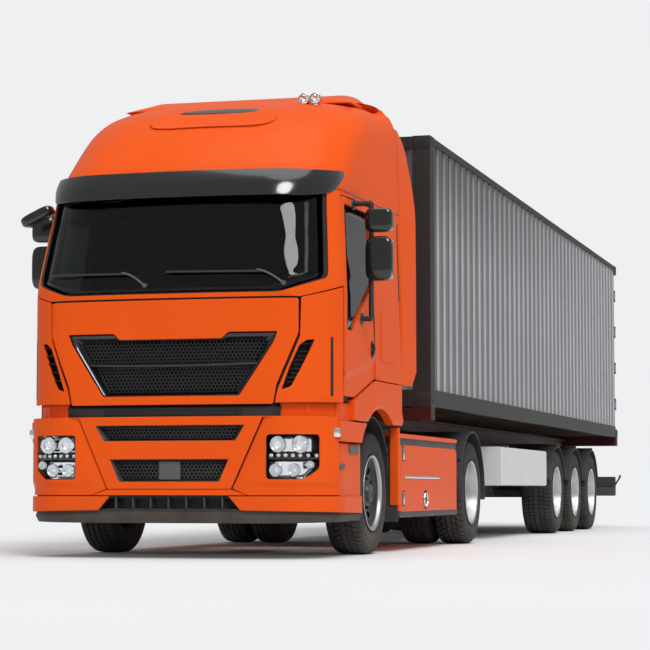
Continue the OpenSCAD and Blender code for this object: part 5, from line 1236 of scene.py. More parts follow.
def build_bumper(sizes, mesh):
    """Bumper: a middle panel with two slots, corner panels with lamp holes, a lower band and a dark lip."""
    lower, upper = BUMPER_SLOTS
    levels = (0.520, *lower[:2], *upper[:2], BUMPER_EDGE)
    spans = zip(levels[:-1], levels[1:], (4, 9, 8, 7, 5))
    z = np.unique(np.concatenate([np.linspace(*span) for span in spans]).round(6))
    slot_half = np.interp(z, levels, (0.380, *lower[2:], *upper[2:], 0.600))
    side = np.linspace(0, 1, 9)[None]
    outer = trapeze(z)[:, None] - 0.004
    left = slot_half[:, None] + (outer - slot_half[:, None]) * side
    middle = slot_half[:, None] * np.linspace(-1, 1, 33)[None][:, 1:-1]
    x = np.concatenate([-left[:, ::-1], middle, left], 1)
    panel = BUMPER.lay(BUMPER.across(x, z[:, None]), z[:, None])
    row_z = (z[:-1] + z[1:]) / 2
    in_slot = np.any([(row_z > low) & (row_z < high) for low, high, _, _ in BUMPER_SLOTS], 0)
    col = np.arange(x.shape[1] - 1)
    in_middle = (col >= 8) & (col < x.shape[1] - 9)
    keep = ~(in_slot[:, None] & in_middle[None])
    add_panel("bumper_middle", Shape().grid(panel, keep=keep), "tractor", sizes, BUMPER_INSIDE, ("bumper",))
    edge = mixed_points(BUMPER, [
        ("front", 0.496, 0.522), ("front", 0.62, BUMPER_FOOT), ("side", 0.175, BUMPER_FOOT),
        ("side", 0.135, BUMPER_EDGE), ("front", TRAPEZE_TOP + 0.004, BUMPER_EDGE),
    ])
    hole = BUMPER.front_loop(LAMP_HOLE, 0.03, 10, 5)
    flat = between(hole, loop(edge, 0.012, 10, 5), 12)
    corner = Shape().grid(BUMPER.drape(flat, corner_sink(flat)), close_cols=True)
    add_panel("bumper_corners", corner.both_sides(), "tractor", sizes, BUMPER_INSIDE)
    strip_edge = [(-0.61, BUMPER_FOOT), (0.61, BUMPER_FOOT), (0.488, 0.516), (-0.488, 0.516)]
    strip = BUMPER.front_loop(strip_edge, 0.006, 12, 3)
    add_panel("bumper_strip", BUMPER.sheet(strip, 4), "tractor", sizes, BUMPER_INSIDE)
    holders = Shape()
    for low, high, half_low, half_high in BUMPER_SLOTS:
        hole_edge = [(-half_low, low), (half_low, low), (half_high, high), (-half_high, high)]
        rim = BUMPER.front_loop(hole_edge, 0.012, 10, 4)
        centre = (0, (low + high) / 2)
        deep = BUMPER.front_loop(resized(hole_edge, centre, (0.93, 0.86)), 0.012, 10, 4)
        sunk = np.array([0.05, 0.034, 0.018, 0.006])[:, None]
        holders.join(BUMPER.ring(deep, rim, 4, sunk))
        holders.join(BUMPER.sheet(deep, 4, 0.075))
    add_piece(
        "bumper_slot_frames", holders, "black_plastic", "tractor", wall=0.004, away_from=BUMPER_INSIDE,
    )
    fields = Shape()
    for corners in (
        [(-0.49, 0.886), (0.49, 0.886), (0.555, 0.990), (-0.555, 0.990)],
        [(-0.375, 0.582), (0.375, 0.582), (0.445, 0.735), (-0.445, 0.735)],
    ):
        fields.join(honeycomb(BUMPER, np.array(corners), mesh.cell, mesh.bar, 0.045, 0.02))
    add_piece("bumper_meshes", fields, "black_plastic", "tractor", away_from=BUMPER_INSIDE)
    block = slab((-0.085, BUMPER_FRONT + 0.030, 0.585), (0.085, BUMPER_FRONT + 0.075, 0.732), 0.012)
    add_piece("bumper_block", block, "grey_plastic", "tractor", rounding=0.002)
    u = np.linspace(0, 1, 57)[None]
    t = np.linspace(0, 1, 8)[:, None]
    z = (0.362 - 0.027 * u) * (1 - t) + 0.466 * t
    start = BUMPER.across(0.560 - 0.090 * t, z)
    band = BUMPER.lay(start + (BUMPER.along(0.786, z) - start) * u, z)
    add_panel("bumper_band", Shape().grid(band).both_sides(), "tractor", sizes, BUMPER_INSIDE)
    u = np.linspace(-1, 1, 121)[None]
    end = float(BUMPER.along(0.786, 0.3))
    low_z = VALANCE_LOW + 0.002 + 0.022 * np.clip(np.abs(u) - 0.35, 0, 1)
    z = low_z + (0.372 - low_z) * t
    tuck = 0.014 * np.clip((t - 0.5) / 0.2, 0, 1) * np.clip((np.abs(u) - 0.25) / 0.06, 0, 1)
    lip = BUMPER.lay(u * end, z, 0.012 + 0.03 * (1 - t) ** 2 + tuck)
    add_piece(
        "bumper_lip", Shape().grid(lip), "lip_plastic", "tractor", ("bumper_valance",), wall=0.02,
        rounding=0.004, away_from=BUMPER_INSIDE,
    )
    floor, deep, rim = (
        BUMPER.front_loop([(-foot, low), (foot, low), (top, high), (-top, high)], 0.01, 12, 3)
        for foot, low, top, high in (
            (0.56, 0.362, 0.49, 0.468), (0.555, 0.366, 0.468, 0.462), (0.56, 0.362, 0.472, 0.466),
        )
    )
    back = BUMPER.sheet(floor, 4, 0.075)
    sunk = np.array([0.07, 0.03, 0.004])[:, None]
    back.join(BUMPER.ring(deep, rim, 3, sunk))
    seam = np.array([0.450, 0.488])[:, None]
    back.grid(BUMPER.lay(u * float(BUMPER.along(0.780, 0.470)), seam, 0.030))
    add_piece("valance_box", back, "seal", "tractor", wall=0.004, away_from=BUMPER_INSIDE)
    ribs = Shape()
    for x0 in np.linspace(-0.42, 0.42, 7):
        s0 = float(BUMPER.lay(x0, 0.42)[1])
        ribs.join(slab((x0 - 0.006, s0 + 0.008, 0.366), (x0 + 0.006, s0 + 0.075, 0.464), 0.003))
    add_piece("valance_ribs", ribs, "black_plastic", "tractor")
    gap_edge = [(-0.83, 1.000), (0.83, 1.000), (0.850, 1.138), (-0.850, 1.138)]
    gap = CAB.sheet(CAB.front_loop(gap_edge, 0.01, 16, 4), 5, 0.040)
    add_piece("bumper_gap_band", gap, "black_plastic", "tractor", wall=0.03, away_from=CAB_INSIDE)
    gap_field = np.array([(-0.55, 1.046), (0.55, 1.046), (0.55, 1.122), (-0.55, 1.122)])
    gap_mesh = honeycomb(CAB, gap_field, mesh.cell, mesh.bar, 0.030, 0.009)
    add_piece("bumper_gap_mesh", gap_mesh, "black_plastic", "tractor", away_from=CAB_INSIDE)
    sunk = np.array([0.003, 0.03, 0.07, 0.12])[:, None]
    top = BUMPER.lay(u * float(BUMPER.along(0.130, BUMPER_EDGE)), 1.0595, sunk)
    top[..., 2] -= np.array([0.0, 0.003, 0.010, 0.03])[:, None]
    add_piece(
        "bumper_ledge", Shape().grid(top), "orange_paint", "tractor", wall=0.006, away_from=(0.0, 0.6, 0.2),
    )


def build_headlamps():
    """Headlamps: a dark box behind each hole, two bowls over a row of small lights and three bowls below."""
    rim = BUMPER.front_loop(LAMP_HOLE, 0.03, 10, 5)
    shrunk = BUMPER.front_loop(resized(LAMP_HOLE, (0.94, 0.76), 0.97), 0.03, 10, 5)
    box = BUMPER.sheet(rim, 4, 0.105)
    box.join(BUMPER.ring(rim, rim, 2, np.array([[0.014], [0.106]])))
    add_piece("lamp_boxes", box.both_sides(), "gloss_black", "tractor", wall=0.003, away_from=BUMPER_INSIDE)
    bowls, beads = Shape(), Shape()
    for x0, z0, r in (
        (0.838, 0.850, 0.062), (1.000, 0.850, 0.066), (0.822, 0.660, 0.050), (0.955, 0.660, 0.050),
        (1.062, 0.700, 0.034),
    ):
        s0 = float(BUMPER.lay(BUMPER.across(x0, z0), z0)[1]) + 0.022
        cup = [
            (0.0, r), (-0.004, 0.96 * r), (0.010, 0.86 * r), (0.028, 0.66 * r), (0.040, 0.40 * r),
            (0.044, 0.26 * r), (0.026, 0.20 * r), (0.022, 0.001),
        ]
        bowls.join(turned(cup, (x0, s0, z0), 36, "s", closed=False))
    for plate in (
        [(0.77, 0.612), (1.02, 0.612), (1.105, 0.69), (1.105, 0.735), (0.77, 0.735)],
        [(0.772, 0.790), (1.108, 0.790), (1.108, 0.898), (0.772, 0.898)],
    ):
        bowls.join(BUMPER.sheet(BUMPER.front_loop(plate, 0.02, 8, 4), 4, 0.060))
    bead = [(0.014, 0.014), (0.004, 0.013), (0.0, 0.008), (-0.002, 0.001)]
    row = 0.768
    for i in range(7):
        x0 = 0.785 + 0.052 * i
        s0 = float(BUMPER.lay(BUMPER.across(x0, row), row)[1]) + 0.030
        beads.join(turned(bead, (x0, s0, row), 16, "s", closed=False))
    level = np.array([0.738, 0.742, 0.752, 0.756])[:, None]
    sunk = np.array([0.09, 0.02, 0.02, 0.09])[:, None]
    divider = BUMPER.lay(np.linspace(0.757, BUMPER.across(1.124, 0.748), 20)[None], level, sunk)
    add_piece("lamp_bowls", bowls.both_sides(), "reflector", "tractor", ("lamps",), wall=0.002)
    add_piece("lamp_beads", beads.both_sides(), "bead", "tractor")
    add_piece("lamp_dividers", Shape().grid(divider).both_sides(), "gloss_black", "tractor", wall=0.002)
    add_piece(
        "lamp_covers", BUMPER.sheet(shrunk, 5, 0.006).both_sides(), "lamp_lens", "tractor", wall=0.004,
        away_from=BUMPER_INSIDE,
    )
    tails = Shape()
    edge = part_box("lamps")[1].y - ZERO_Y
    for sign in (1, -1):
        x = np.sort(sign * np.array([0.414, 0.728]))
        tails.join(slab((x[0], edge - 0.058, 0.662), (x[1], edge - 0.002, 0.768), 0.012))
    add_piece("tail_lamps", tails, "red_lens", "tractor")


# Wheels


def tyre_shape(width, blocks, tread, slant):
    """Tyre round the origin's X axis: a bulged section spun round, its crown cut by grooves.

    The section runs from bead to bead. Each tread block takes four columns, the first and last of which
    drop by most of the tread's depth, and the columns lean with the distance from the crown's middle.
    """
    grooves = np.array([-0.24, -0.08, 0.08, 0.24]) * width
    edges = (grooves[:, None] + np.array([-0.007, -0.005, 0.005, 0.007])[None]).ravel()
    crown = np.concatenate([[-0.40 * width, -0.36 * width], edges, [0.36 * width, 0.40 * width]])
    dip = np.concatenate([[0, 0], np.tile([0, 1, 1, 0], 4), [0, 0]]) * tread
    crown_r = TYRE_R - 0.010 * (crown / (0.4 * width)) ** 4 - dip
    side = np.array([
        (0.400, 0.288), (0.425, 0.300), (0.440, 0.312), (0.470, 0.340), (0.4995, 0.385), (0.4995, 0.400),
        (0.490, 0.404), (0.486, 0.425), (0.474, 0.450), (0.450, 0.468),
    ])
    x = np.concatenate([-side[:, 0] * width, crown, side[::-1, 0] * width])
    r = np.concatenate([side[:, 1], crown_r, side[::-1, 1]])
    lug = np.concatenate([np.zeros(8), [0.6, 1.0], [1, 1], np.ones(16), [1, 1], [1.0, 0.6], np.zeros(8)])
    middle = np.abs(x) < 0.09 * width
    lug = np.where(middle, 0.0, lug)
    base = (np.arange(blocks)[:, None] + np.array([0.0, 0.04, 0.72, 0.76])[None]).ravel() * 2 * np.pi / blocks
    cutting = np.tile([1.0, 0.0, 0.0, 1.0], blocks)
    lean = slant * np.abs(x) / (0.4 * width) * np.clip((r - 0.44) / 0.03, 0, 1)
    angle = base[:, None] + lean[None] * 2 * np.pi / blocks
    radius = r[None] - 0.8 * tread * cutting[:, None] * lug[None] * (r > 0.44)[None]
    points = np.stack([x[None] + 0 * angle, radius * np.cos(angle), radius * np.sin(angle)], -1)
    return Shape().grid(points, close_rows=True)


def rim_disc(r_in, r_out, at, dish, vents):
    """Wheel disc with round hand holes: each sector is a ring of points from its hole to its border."""
    turn = 2 * np.pi / vents
    middle = (r_in + r_out) / 2
    hole_turn = np.linspace(0, 2 * np.pi, 24, endpoint=False)
    half = 0.30 * (r_out - r_in)
    hole = np.stack([half / middle * np.sin(hole_turn), middle + half * np.cos(hole_turn)], -1)
    box_x = np.clip(1.5 * np.sin(hole_turn), -1, 1) * turn / 2
    box_r = np.clip(1.5 * np.cos(hole_turn), -1, 1) * (r_out - r_in) / 2 + middle
    rows = between(hole, np.stack([box_x, box_r], -1), 4)
    share = (rows[..., 1] - r_in) / (r_out - r_in)
    offset = at + dish * np.sin(np.clip(share, 0, 1) * np.pi / 2)
    angle = rows[..., 0][None] + turn * np.arange(vents)[:, None, None]
    radius = np.broadcast_to(rows[..., 1][None], angle.shape)
    offset = np.broadcast_to(offset[None], angle.shape)
    points = np.stack([offset, radius * np.sin(angle), radius * np.cos(angle)], -1)
    shape = Shape()
    for sector in points:
        shape.grid(sector, close_cols=True)
    return shape


def rim_shape(width, disc_at, dish, hub_out):
    """Rim round the origin's X axis: a lip, then a stepped barrel with its dished disc, hub and nuts."""
    w = 0.42 * width
    lip = [(w + 0.020, 0.302), (w + 0.022, 0.296), (w + 0.014, 0.284), (w - 0.004, 0.279), (w - 0.02, 0.276)]
    barrel = [
        (w - 0.02, 0.276), (0.5 * w, 0.262), (-0.5 * w, 0.262), (-w + 0.02, 0.276), (-w - 0.014, 0.284),
        (-w - 0.022, 0.296), (-w - 0.020, 0.302),
    ]
    shape = turned(lip, (0, 0, 0), 72, closed=False)
    disc = rim_disc(0.165, 0.264, disc_at, dish, 10)
    disc.join(turned(barrel, (0, 0, 0), 72, closed=False))
    hub = [
        (disc_at, 0.166), (disc_at + 0.004, 0.120), (disc_at + 0.010, 0.112),
        (disc_at + hub_out * 0.55, 0.104), (disc_at + hub_out * 0.62, 0.084),
        (disc_at + hub_out * 0.95, 0.076), (disc_at + hub_out, 0.066), (disc_at + hub_out, 0.001),
    ]
    disc.join(turned(hub, (0, 0, 0), 60, closed=False))
    nuts, circle = 10, 0.1425
    nut = [(0.0, 0.022), (0.006, 0.022), (0.0065, 0.0165), (0.026, 0.0165), (0.030, 0.012), (0.030, 0.001)]
    for turn in np.arange(nuts) * 2 * np.pi / nuts:
        place = (disc_at, circle * math.sin(turn), circle * math.cos(turn))
        disc.join(turned(nut, place, 6, closed=False))
    return shape, disc


def build_wheels(sizes):
    """All wheels: tyres with cut treads, and rims with lips, hand holes, hubs and nuts."""
    steer = tyre_shape(0.300, 60, sizes.tread, 0.9)
    drive = tyre_shape(0.300, 44, sizes.tread * 1.3, 1.4)
    trailer = tyre_shape(0.370, 64, sizes.tread, 0.6)
    front_rim = rim_shape(0.300, 0.062, 0.022, 0.070)
    drive_rim = rim_shape(0.300, -0.128, 0.036, 0.150)
    trailer_rim = rim_shape(0.370, 0.024, 0.030, 0.100)
    for name, sign, turn in SIDES:
        at = dict(x=sign * FRONT_WHEEL_X, s=AXLE_AT, z=TYRE_R)
        body = "front_wheel_" + name
        add_piece(
            "front_tyre_" + name, turn(steer).moved(**at), "tyre", body, ("tyre_front_" + name,), angle=50,
        )
        add_piece("front_rim_ring_" + name, turn(front_rim[0]).moved(**at), "silver_rim", body, wall=0.008)
        add_piece(
            "front_rim_disc_" + name, turn(front_rim[1]).moved(**at), "black_rim", body,
            ("rim_front_" + name,), wall=0.006,
        )
        body = "drive_wheels_" + name
        outer, inner = (dict(x=sign * x, s=DRIVE_AT, z=TYRE_R) for x in DRIVE_WHEELS_X)
        pair = turn(drive).moved(**outer).join(turn(drive).moved(**inner))
        add_piece("drive_tyres_" + name, pair, "tyre", body, ("tyres_drive_" + name,), angle=50)
        rims = Shape().join(drive_rim[0]).join(drive_rim[1])
        pair = turn(rims).moved(**outer).join(turn(rims).moved(**inner))
        add_piece("drive_rims_" + name, pair, "silver_rim", body, ("rims_drive_" + name,), wall=0.006)
        rims = Shape().join(trailer_rim[0]).join(trailer_rim[1])
        for i in range(3):
            body = "trailer_wheel_%d_%s" % (i + 1, name)
            at = dict(x=sign * TRAILER_WHEEL_X, s=TRAILER_AXLE_AT + TRAILER_AXLE_STEP * i, z=TYRE_R)
            add_piece(body + "_tyre", turn(trailer).moved(**at), "tyre", body, (body,), angle=50)
            add_piece(body + "_rim", turn(rims).moved(**at), "silver_rim", body, wall=0.006)


# Mirrors, inside of the cab, skirts


def pod(low, high, power=0.45):
    """Rounded box: a sphere's sines and cosines raised to a power below one, so that its sides flatten."""
    low, high = np.asarray(low, float), np.asarray(high, float)
    u = np.linspace(-np.pi / 2, np.pi / 2, 22)[:, None]
    v = np.linspace(0, 2 * np.pi, 40, endpoint=False)[None]

    def bend(value):
        return np.sign(value) * np.abs(value) ** power

    x, s, z = bend(np.cos(u)) * bend(np.cos(v)), bend(np.cos(u)) * bend(np.sin(v)), bend(np.sin(u)) + 0 * v
    points = (low + high) / 2 + np.stack([x, s, z], -1) * (high - low) / 2
    return Shape().grid(points, close_cols=True)


def build_mirrors():
    """Mirrors: a tall and a wide-angle head on a column with two arms, with glass to the rear."""
    heads = Shape().join(pod((1.285, 0.700, 2.130), (1.500, 0.826, 2.480)))
    heads.join(pod((1.285, 0.700, 2.510), (1.500, 0.826, 2.700)))
    column, foot, top = 0.765, 1.840, 2.741
    arms = tube([(1.325, column, z) for z in np.linspace(foot, top, 12)], 0.020, 14)
    for z in (foot, top):
        inner = float(CAB.lay(CAB.along(column, z), z)[0])
        arms.join(tube([(x, column, z) for x in np.linspace(inner - 0.002, 1.330, 6)], 0.021, 14))
        arms.join(turned([(0.0, 0.05), (0.012, 0.046), (0.02, 0.030)], (inner - 0.004, column, z), 24))
    glasses = slab((1.305, 0.820, 2.155), (1.482, 0.829, 2.455), 0.004).join(
        slab((1.305, 0.820, 2.530), (1.482, 0.829, 2.682), 0.004))
    for name, _, turn in SIDES:
        body = "door_" + name
        add_piece("mirror_heads_" + name, turn(heads), "gloss_black", body, ("mirrors_" + name,))
        add_piece("mirror_arms_" + name, turn(arms), "black_plastic", body)
        add_piece("mirror_glasses_" + name, turn(glasses), "reflector", body, slot="chrome")


def build_kerb_mirror():
    """Kerb mirror on the right door: a hooded head that leans out from an arm on the door's upper frame."""
    head = pod((-0.140, -0.075, -0.046), (0.140, 0.075, 0.046), 0.5)
    lean = math.radians(-25)
    x, z = head.points[:, 0].copy(), head.points[:, 2].copy()
    head.points[:, 0] = z * math.sin(lean) - x * math.cos(lean)
    head.points[:, 2] = x * math.sin(lean) + z * math.cos(lean)
    root = CAB.lay(-CAB.along(0.58, 2.735), 2.735)
    arm = tube(np.linspace(root + (0.01, 0, 0), (-1.32, 0.500, 2.705), 8), 0.016, 12)
    add_piece("kerb_mirror_head", head.moved(-1.352, 0.500, 2.690), "gloss_black", "door_right")
    add_piece("kerb_mirror_arm", arm, "black_plastic", "door_right")


def cushion(low, high, channels):
    """Stuffed pad: a rounded box whose broad faces swell, with sewn channels across it."""
    shape = pod(low, high, 0.38)
    low, high = np.asarray(low, float), np.asarray(high, float)
    size = high - low
    thin = int(np.argmin(size))
    long = 1 if thin == 2 else 2
    share = (shape.points - low) / size
    swell = np.sin(np.pi * np.clip(share[:, 0], 0, 1)) * 0.06
    groove = 0.10 * np.abs(np.cos(np.pi * channels * share[:, long])) ** 12
    away = share[:, thin] - 0.5
    shape.points[:, thin] = low[thin] + size[thin] * (0.5 + away * (0.92 + swell - groove))
    return shape


def build_inside():
    """Seats with stuffed cushions on frames, and the steering wheel with its spokes and column."""
    frames = Shape()
    half = 0.248
    for name, sign, _ in SIDES:
        x0 = sign * 0.690
        base = cushion((x0 - half, 0.985, 1.712), (x0 + half, 1.420, 1.838), 3)
        back = cushion((x0 - half, 1.385, 1.760), (x0 + half, 1.498, 2.300), 4)
        head = cushion((x0 - 0.140, 1.392, 2.305), (x0 + 0.140, 1.494, 2.428), 1)
        for part, shape in (("base", base), ("back", back), ("head", head)):
            piece = add_piece("seat_%s_%s" % (part, name), shape, "seat_cloth", "cab")
        frames.join(slab((x0 - 0.158, 1.072, 1.352), (x0 + 0.158, 1.408, 1.708), 0.03))
        frames.join(slab((x0 - 0.20, 1.10, 1.690), (x0 + 0.20, 1.40, 1.712), 0.008))
    add_piece("seat_frames", frames, "black_plastic", "cab", ("seats",), slot="cab_trim")
    turn = np.linspace(0, 2 * np.pi, 64, endpoint=False)
    tilt = math.radians(32)
    ahead = np.array([0.0, math.sin(tilt), math.cos(tilt)])
    across = np.array([1.0, 0.0, 0.0])
    centre = np.array([0.690, 0.830, 2.010])
    axis = np.cross(across, ahead)
    ring = centre + 0.208 * (np.cos(turn)[:, None] * across + np.sin(turn)[:, None] * ahead)
    wheel = tube(ring, 0.0165, 12, closed=True)
    for angle in np.radians([90, 210, 330]):
        reach = math.cos(angle) * across + math.sin(angle) * ahead
        wheel.join(tube([centre + reach * r + axis * 0.012 for r in np.linspace(0.03, 0.20, 6)], 0.013, 10))
    wheel.join(tube([centre + axis * d for d in (-0.014, -0.008, 0.0, 0.05)], [0.05, 0.062, 0.066, 0.05], 24))
    wheel.join(tube([centre + axis * d for d in np.linspace(0.05, 0.16, 4)], 0.033, 16))
    add_piece("steering_ring", wheel, "cab_trim", "cab", ("steering_wheel",))


def build_skirts():
    """Painted skirt housings with a dark stripe, a sill, handle cups, bright steps and the exhaust outlet."""
    front, back, out = 2.062, 4.398, 1.2385
    paint = slab((0.702, front, 0.282), (out, back, 0.906), 0.050)
    paint.join(slab((0.702, front, 0.944), (out, back, 0.984), 0.016))
    paint.join(slab((1.160, 2.028, 0.385), (out, 2.090, 1.030), 0.012))
    add_piece(
        "skirt_housings", paint.both_sides(), "orange_paint", "tractor", ("side_skirts",), rounding=0.003,
    )
    dark, bright = Shape(), Shape()
    dark.join(slab((0.720, 2.066, 0.880), (1.224, 4.394, 0.960), 0.004))
    dark.join(slab((1.205, 2.068, 0.284), (1.2395, 4.392, 0.346), 0.016))
    for low in (0.372, 0.745):
        dark.join(slab((1.205, 2.160, low), (1.2415, 2.262, low + 0.140), 0.012))
        bright.join(slab((1.230, 2.196, low + 0.018), (1.2455, 2.226, low + 0.122), 0.006))
    bright.join(slab((1.226, 2.270, 0.610), (1.2440, 3.600, 0.634), 0.004))
    add_piece("skirt_trims", dark.both_sides(), "black_plastic", "tractor")
    add_piece("skirt_steps", bright.both_sides(), "chrome", "tractor")
    outlet = (3.040, 0.430)
    pipe = [(-0.115, 0.056), (0.004, 0.057), (0.010, 0.060), (0.004, 0.064), (-0.115, 0.062)]
    add_piece(
        "outlet_pipe", turned(pipe, (1.240, *outlet), 40, closed=False), "chrome", "tractor",
        ("exhaust_tip",), wall=0.002,
    )
    cup = [(0.0, 0.084), (0.0012, 0.082), (0.0012, 0.001)]
    pocket = turned(cup, (out, *outlet), 40, closed=False)
    add_piece("outlet_pocket", pocket, "seal", "tractor", away_from=(1.0, *outlet))


def build_fenders():
    """Fenders cut by the wheel arch with a lip along it, and rounded CAD copies of deflectors and lockers."""
    s = np.linspace(0.564, CAB_BACK - 0.004, 81)[None]
    t = np.linspace(0, 1, 10)[:, None]
    foot = np.maximum(arch(s), 1.046)
    top = np.interp(s, [0.56, 1.24, 1.26], [1.198, 1.376, 1.380])
    z = foot + (top - foot) * t
    lip = np.clip(1 - (z - foot) / 0.085, 0, 1)
    flare = 0.012 * np.clip((s - 0.62) / 0.30, 0, 1) ** 2
    x = HALF_CAB - 0.002 + flare * (np.clip(4 * lip, 0, 1) - lip**6)
    face = np.stack([x + 0 * s, s + 0 * t, z], -1)
    inner = face[::-1] * (0, 1, 1) + (HALF_CAB - 0.068, 0, 0)
    shell = np.concatenate([face, inner])
    shape = Shape().grid(shell, close_rows=True).cap(shell[:, 0]).cap(shell[:, -1])
    add_piece(
        "fender_panels", shape.both_sides(), "orange_paint", "cab", ("front_fenders",), rounding=0.004,
    )
    add_cad_copy("deflector_panels", "side_deflectors", "orange_paint", "cab", 0.006)
    add_cad_copy("locker_boxes", "side_lockers", "white_paint", "trailer", 0.005)


def build_chassis():
    """Finishes of the CAD nodes that are shown as they are."""
    dress("chassis_steel", "tractor_frame", "engine_block", "front_axle", "drive_axle", "fifth_wheel",
          "knuckle_left", "knuckle_right", "landing_legs", "trailer_axles")
    dress("black_plastic", "arch_liners", "rear_mudguards", "trailer_mudguards")
    dress("cab_trim", "cab_floor", "dashboard")
    # The trailer frame's dark red carries painted shade
    dress("trailer_paint", "trailer_frame")
    dress("container_frame_paint", "container_frame")
    dress("container_paint", "container_walls", "container_door_left", "container_door_right")
    dress("floor_boards", "container_floor")


def build_container_trim():
    """Corner castings with oval slots shown as near-black ovals of painted shade, rubber pads on the
    bolsters, and bar handles on the lock rods.
    """
    castings, slots, pads = Shape(), Shape(), Shape()
    # Each slot is a thin near-black oval laid on a casting: painted shade for the hole
    slot = turned([(0.0, 0.026), (0.001, 0.025), (0.001, 0.001)], (0, 0, 0), 24, closed=False)
    slot.points[:, 1] *= 1.5
    for s in (CONTAINER_AT - 0.004, CONTAINER_BACK - 0.178):
        for z in (1.2445, 3.5645):
            castings.join(slab((1.056, s, z), (1.2230, s + 0.182, z + 0.1235), 0.008))
            slots.join(slot.moved(1.2228, s + 0.091, z + 0.060))
    for s in (CONTAINER_AT + 0.012, CONTAINER_BACK - 0.158):
        pads.join(slab((-1.050, s, 1.2443), (1.050, s + 0.146, 1.2557), 0.002))
    add_piece("corner_castings", castings.both_sides(), "container_frame_paint", "trailer")
    add_piece("casting_slot_shades", slots.both_sides(), "seal", "trailer")
    add_piece("bolster_pads", pads, "seal", "trailer")
    bars = Shape()
    for x, reach, z in ((0.297, 0.30, 2.060), (0.800, -0.30, 1.930)):
        low, high = sorted((x, x + reach))
        catch = x + 0.86 * reach
        for x0, x1, front, back, foot, top in (
            (low, high, 0.014, 0.026, 0.0, 0.034), (x - 0.024, x + 0.024, -0.022, 0.022, -0.02, 0.054),
            (catch - 0.02, catch + 0.02, -0.028, 0.016, -0.02, 0.054),
        ):
            bars.join(slab((x0, DOOR_RODS_AT + front, z + foot), (x1, DOOR_RODS_AT + back, z + top), 0.004))
    for name, _, turn in SIDES:
        add_piece("lock_handles_" + name, turn(bars), "silver_rim", "container_door_" + name)


def build_rear_bar():
    """Rear underrun bar on hangers, lamp boxes with amber, red and clear lenses, marker lamps on stalks."""
    back = CONTAINER_BACK
    bar = slab((-1.189, back - 0.100, 0.431), (1.189, back, 0.549), 0.012)
    posts = slab((0.386, back - 0.199, 0.431), (0.514, back - 0.099, 0.8235), 0.008)
    bar.join(posts.both_sides())
    boxes = slab((0.800, back - 0.052, 0.433), (1.188, back + 0.018, 0.700), 0.012).both_sides()
    stalk = np.linspace((1.170, back - 0.040, 0.560), (1.250, back - 0.020, 0.690), 6)
    stalks = tube(stalk, 0.012, 12).both_sides()
    add_piece("underrun_beam", bar, "chassis_steel", "trailer", ("underrun_bar",))
    add_piece("rear_lamp_boxes", boxes, "black_plastic", "trailer")
    add_piece("marker_stalks", stalks, "seal", "trailer")
    for name, material, x0, x1 in (
        ("rear_turn_lenses", "amber_lens", 1.064, 1.176), ("rear_brake_lenses", "red_lens", 0.932, 1.054),
        ("rear_clear_lenses", "bead", 0.812, 0.922),
    ):
        lens = slab((x0, back + 0.010, 0.560), (x1, back + 0.0290, 0.688), 0.010)
        add_piece(name, lens.both_sides(), material, "trailer")
    ends = pod((1.236, back - 0.044, 0.684), (1.268, back + 0.002, 0.724))
    add_piece("marker_lenses", ends.both_sides(), "red_lens", "trailer")


def build_wipers():
    """Two wipers: a blade that lies along the foot of the glass and a cranked arm to its pivot."""
    blades, arms = Shape(), Shape()
    pivot_z = 2.050
    for x0, x1, pivot in ((-0.98, -0.335, -0.200), (-0.03, 0.728, 0.876)):
        x = np.linspace(x0, x1, 24)
        z = 2.150 - 0.012 * (x - x0)
        blades.join(tube(CAB.lay(CAB.across(x, z), z, -0.014), 0.009, 8))
        t = np.linspace(0, 1, 12)
        x = x1 - 0.05 + (pivot - x1 + 0.05) * t
        z = 2.152 + (pivot_z - 2.152) * t**1.6
        arms.join(tube(CAB.lay(CAB.across(x, z), z, -0.030 + 0.012 * t), 0.0075, 8))
        base = CAB.lay(CAB.across(pivot, pivot_z), pivot_z, -0.004)
        arms.join(turned([(-0.02, 0.004), (-0.018, 0.016), (0.02, 0.018)], base, 16, "s"))
    add_piece("wiper_blades", blades, "black_plastic", "cab")
    add_piece("wiper_arms", arms, "grey_plastic", "cab")


# The stage


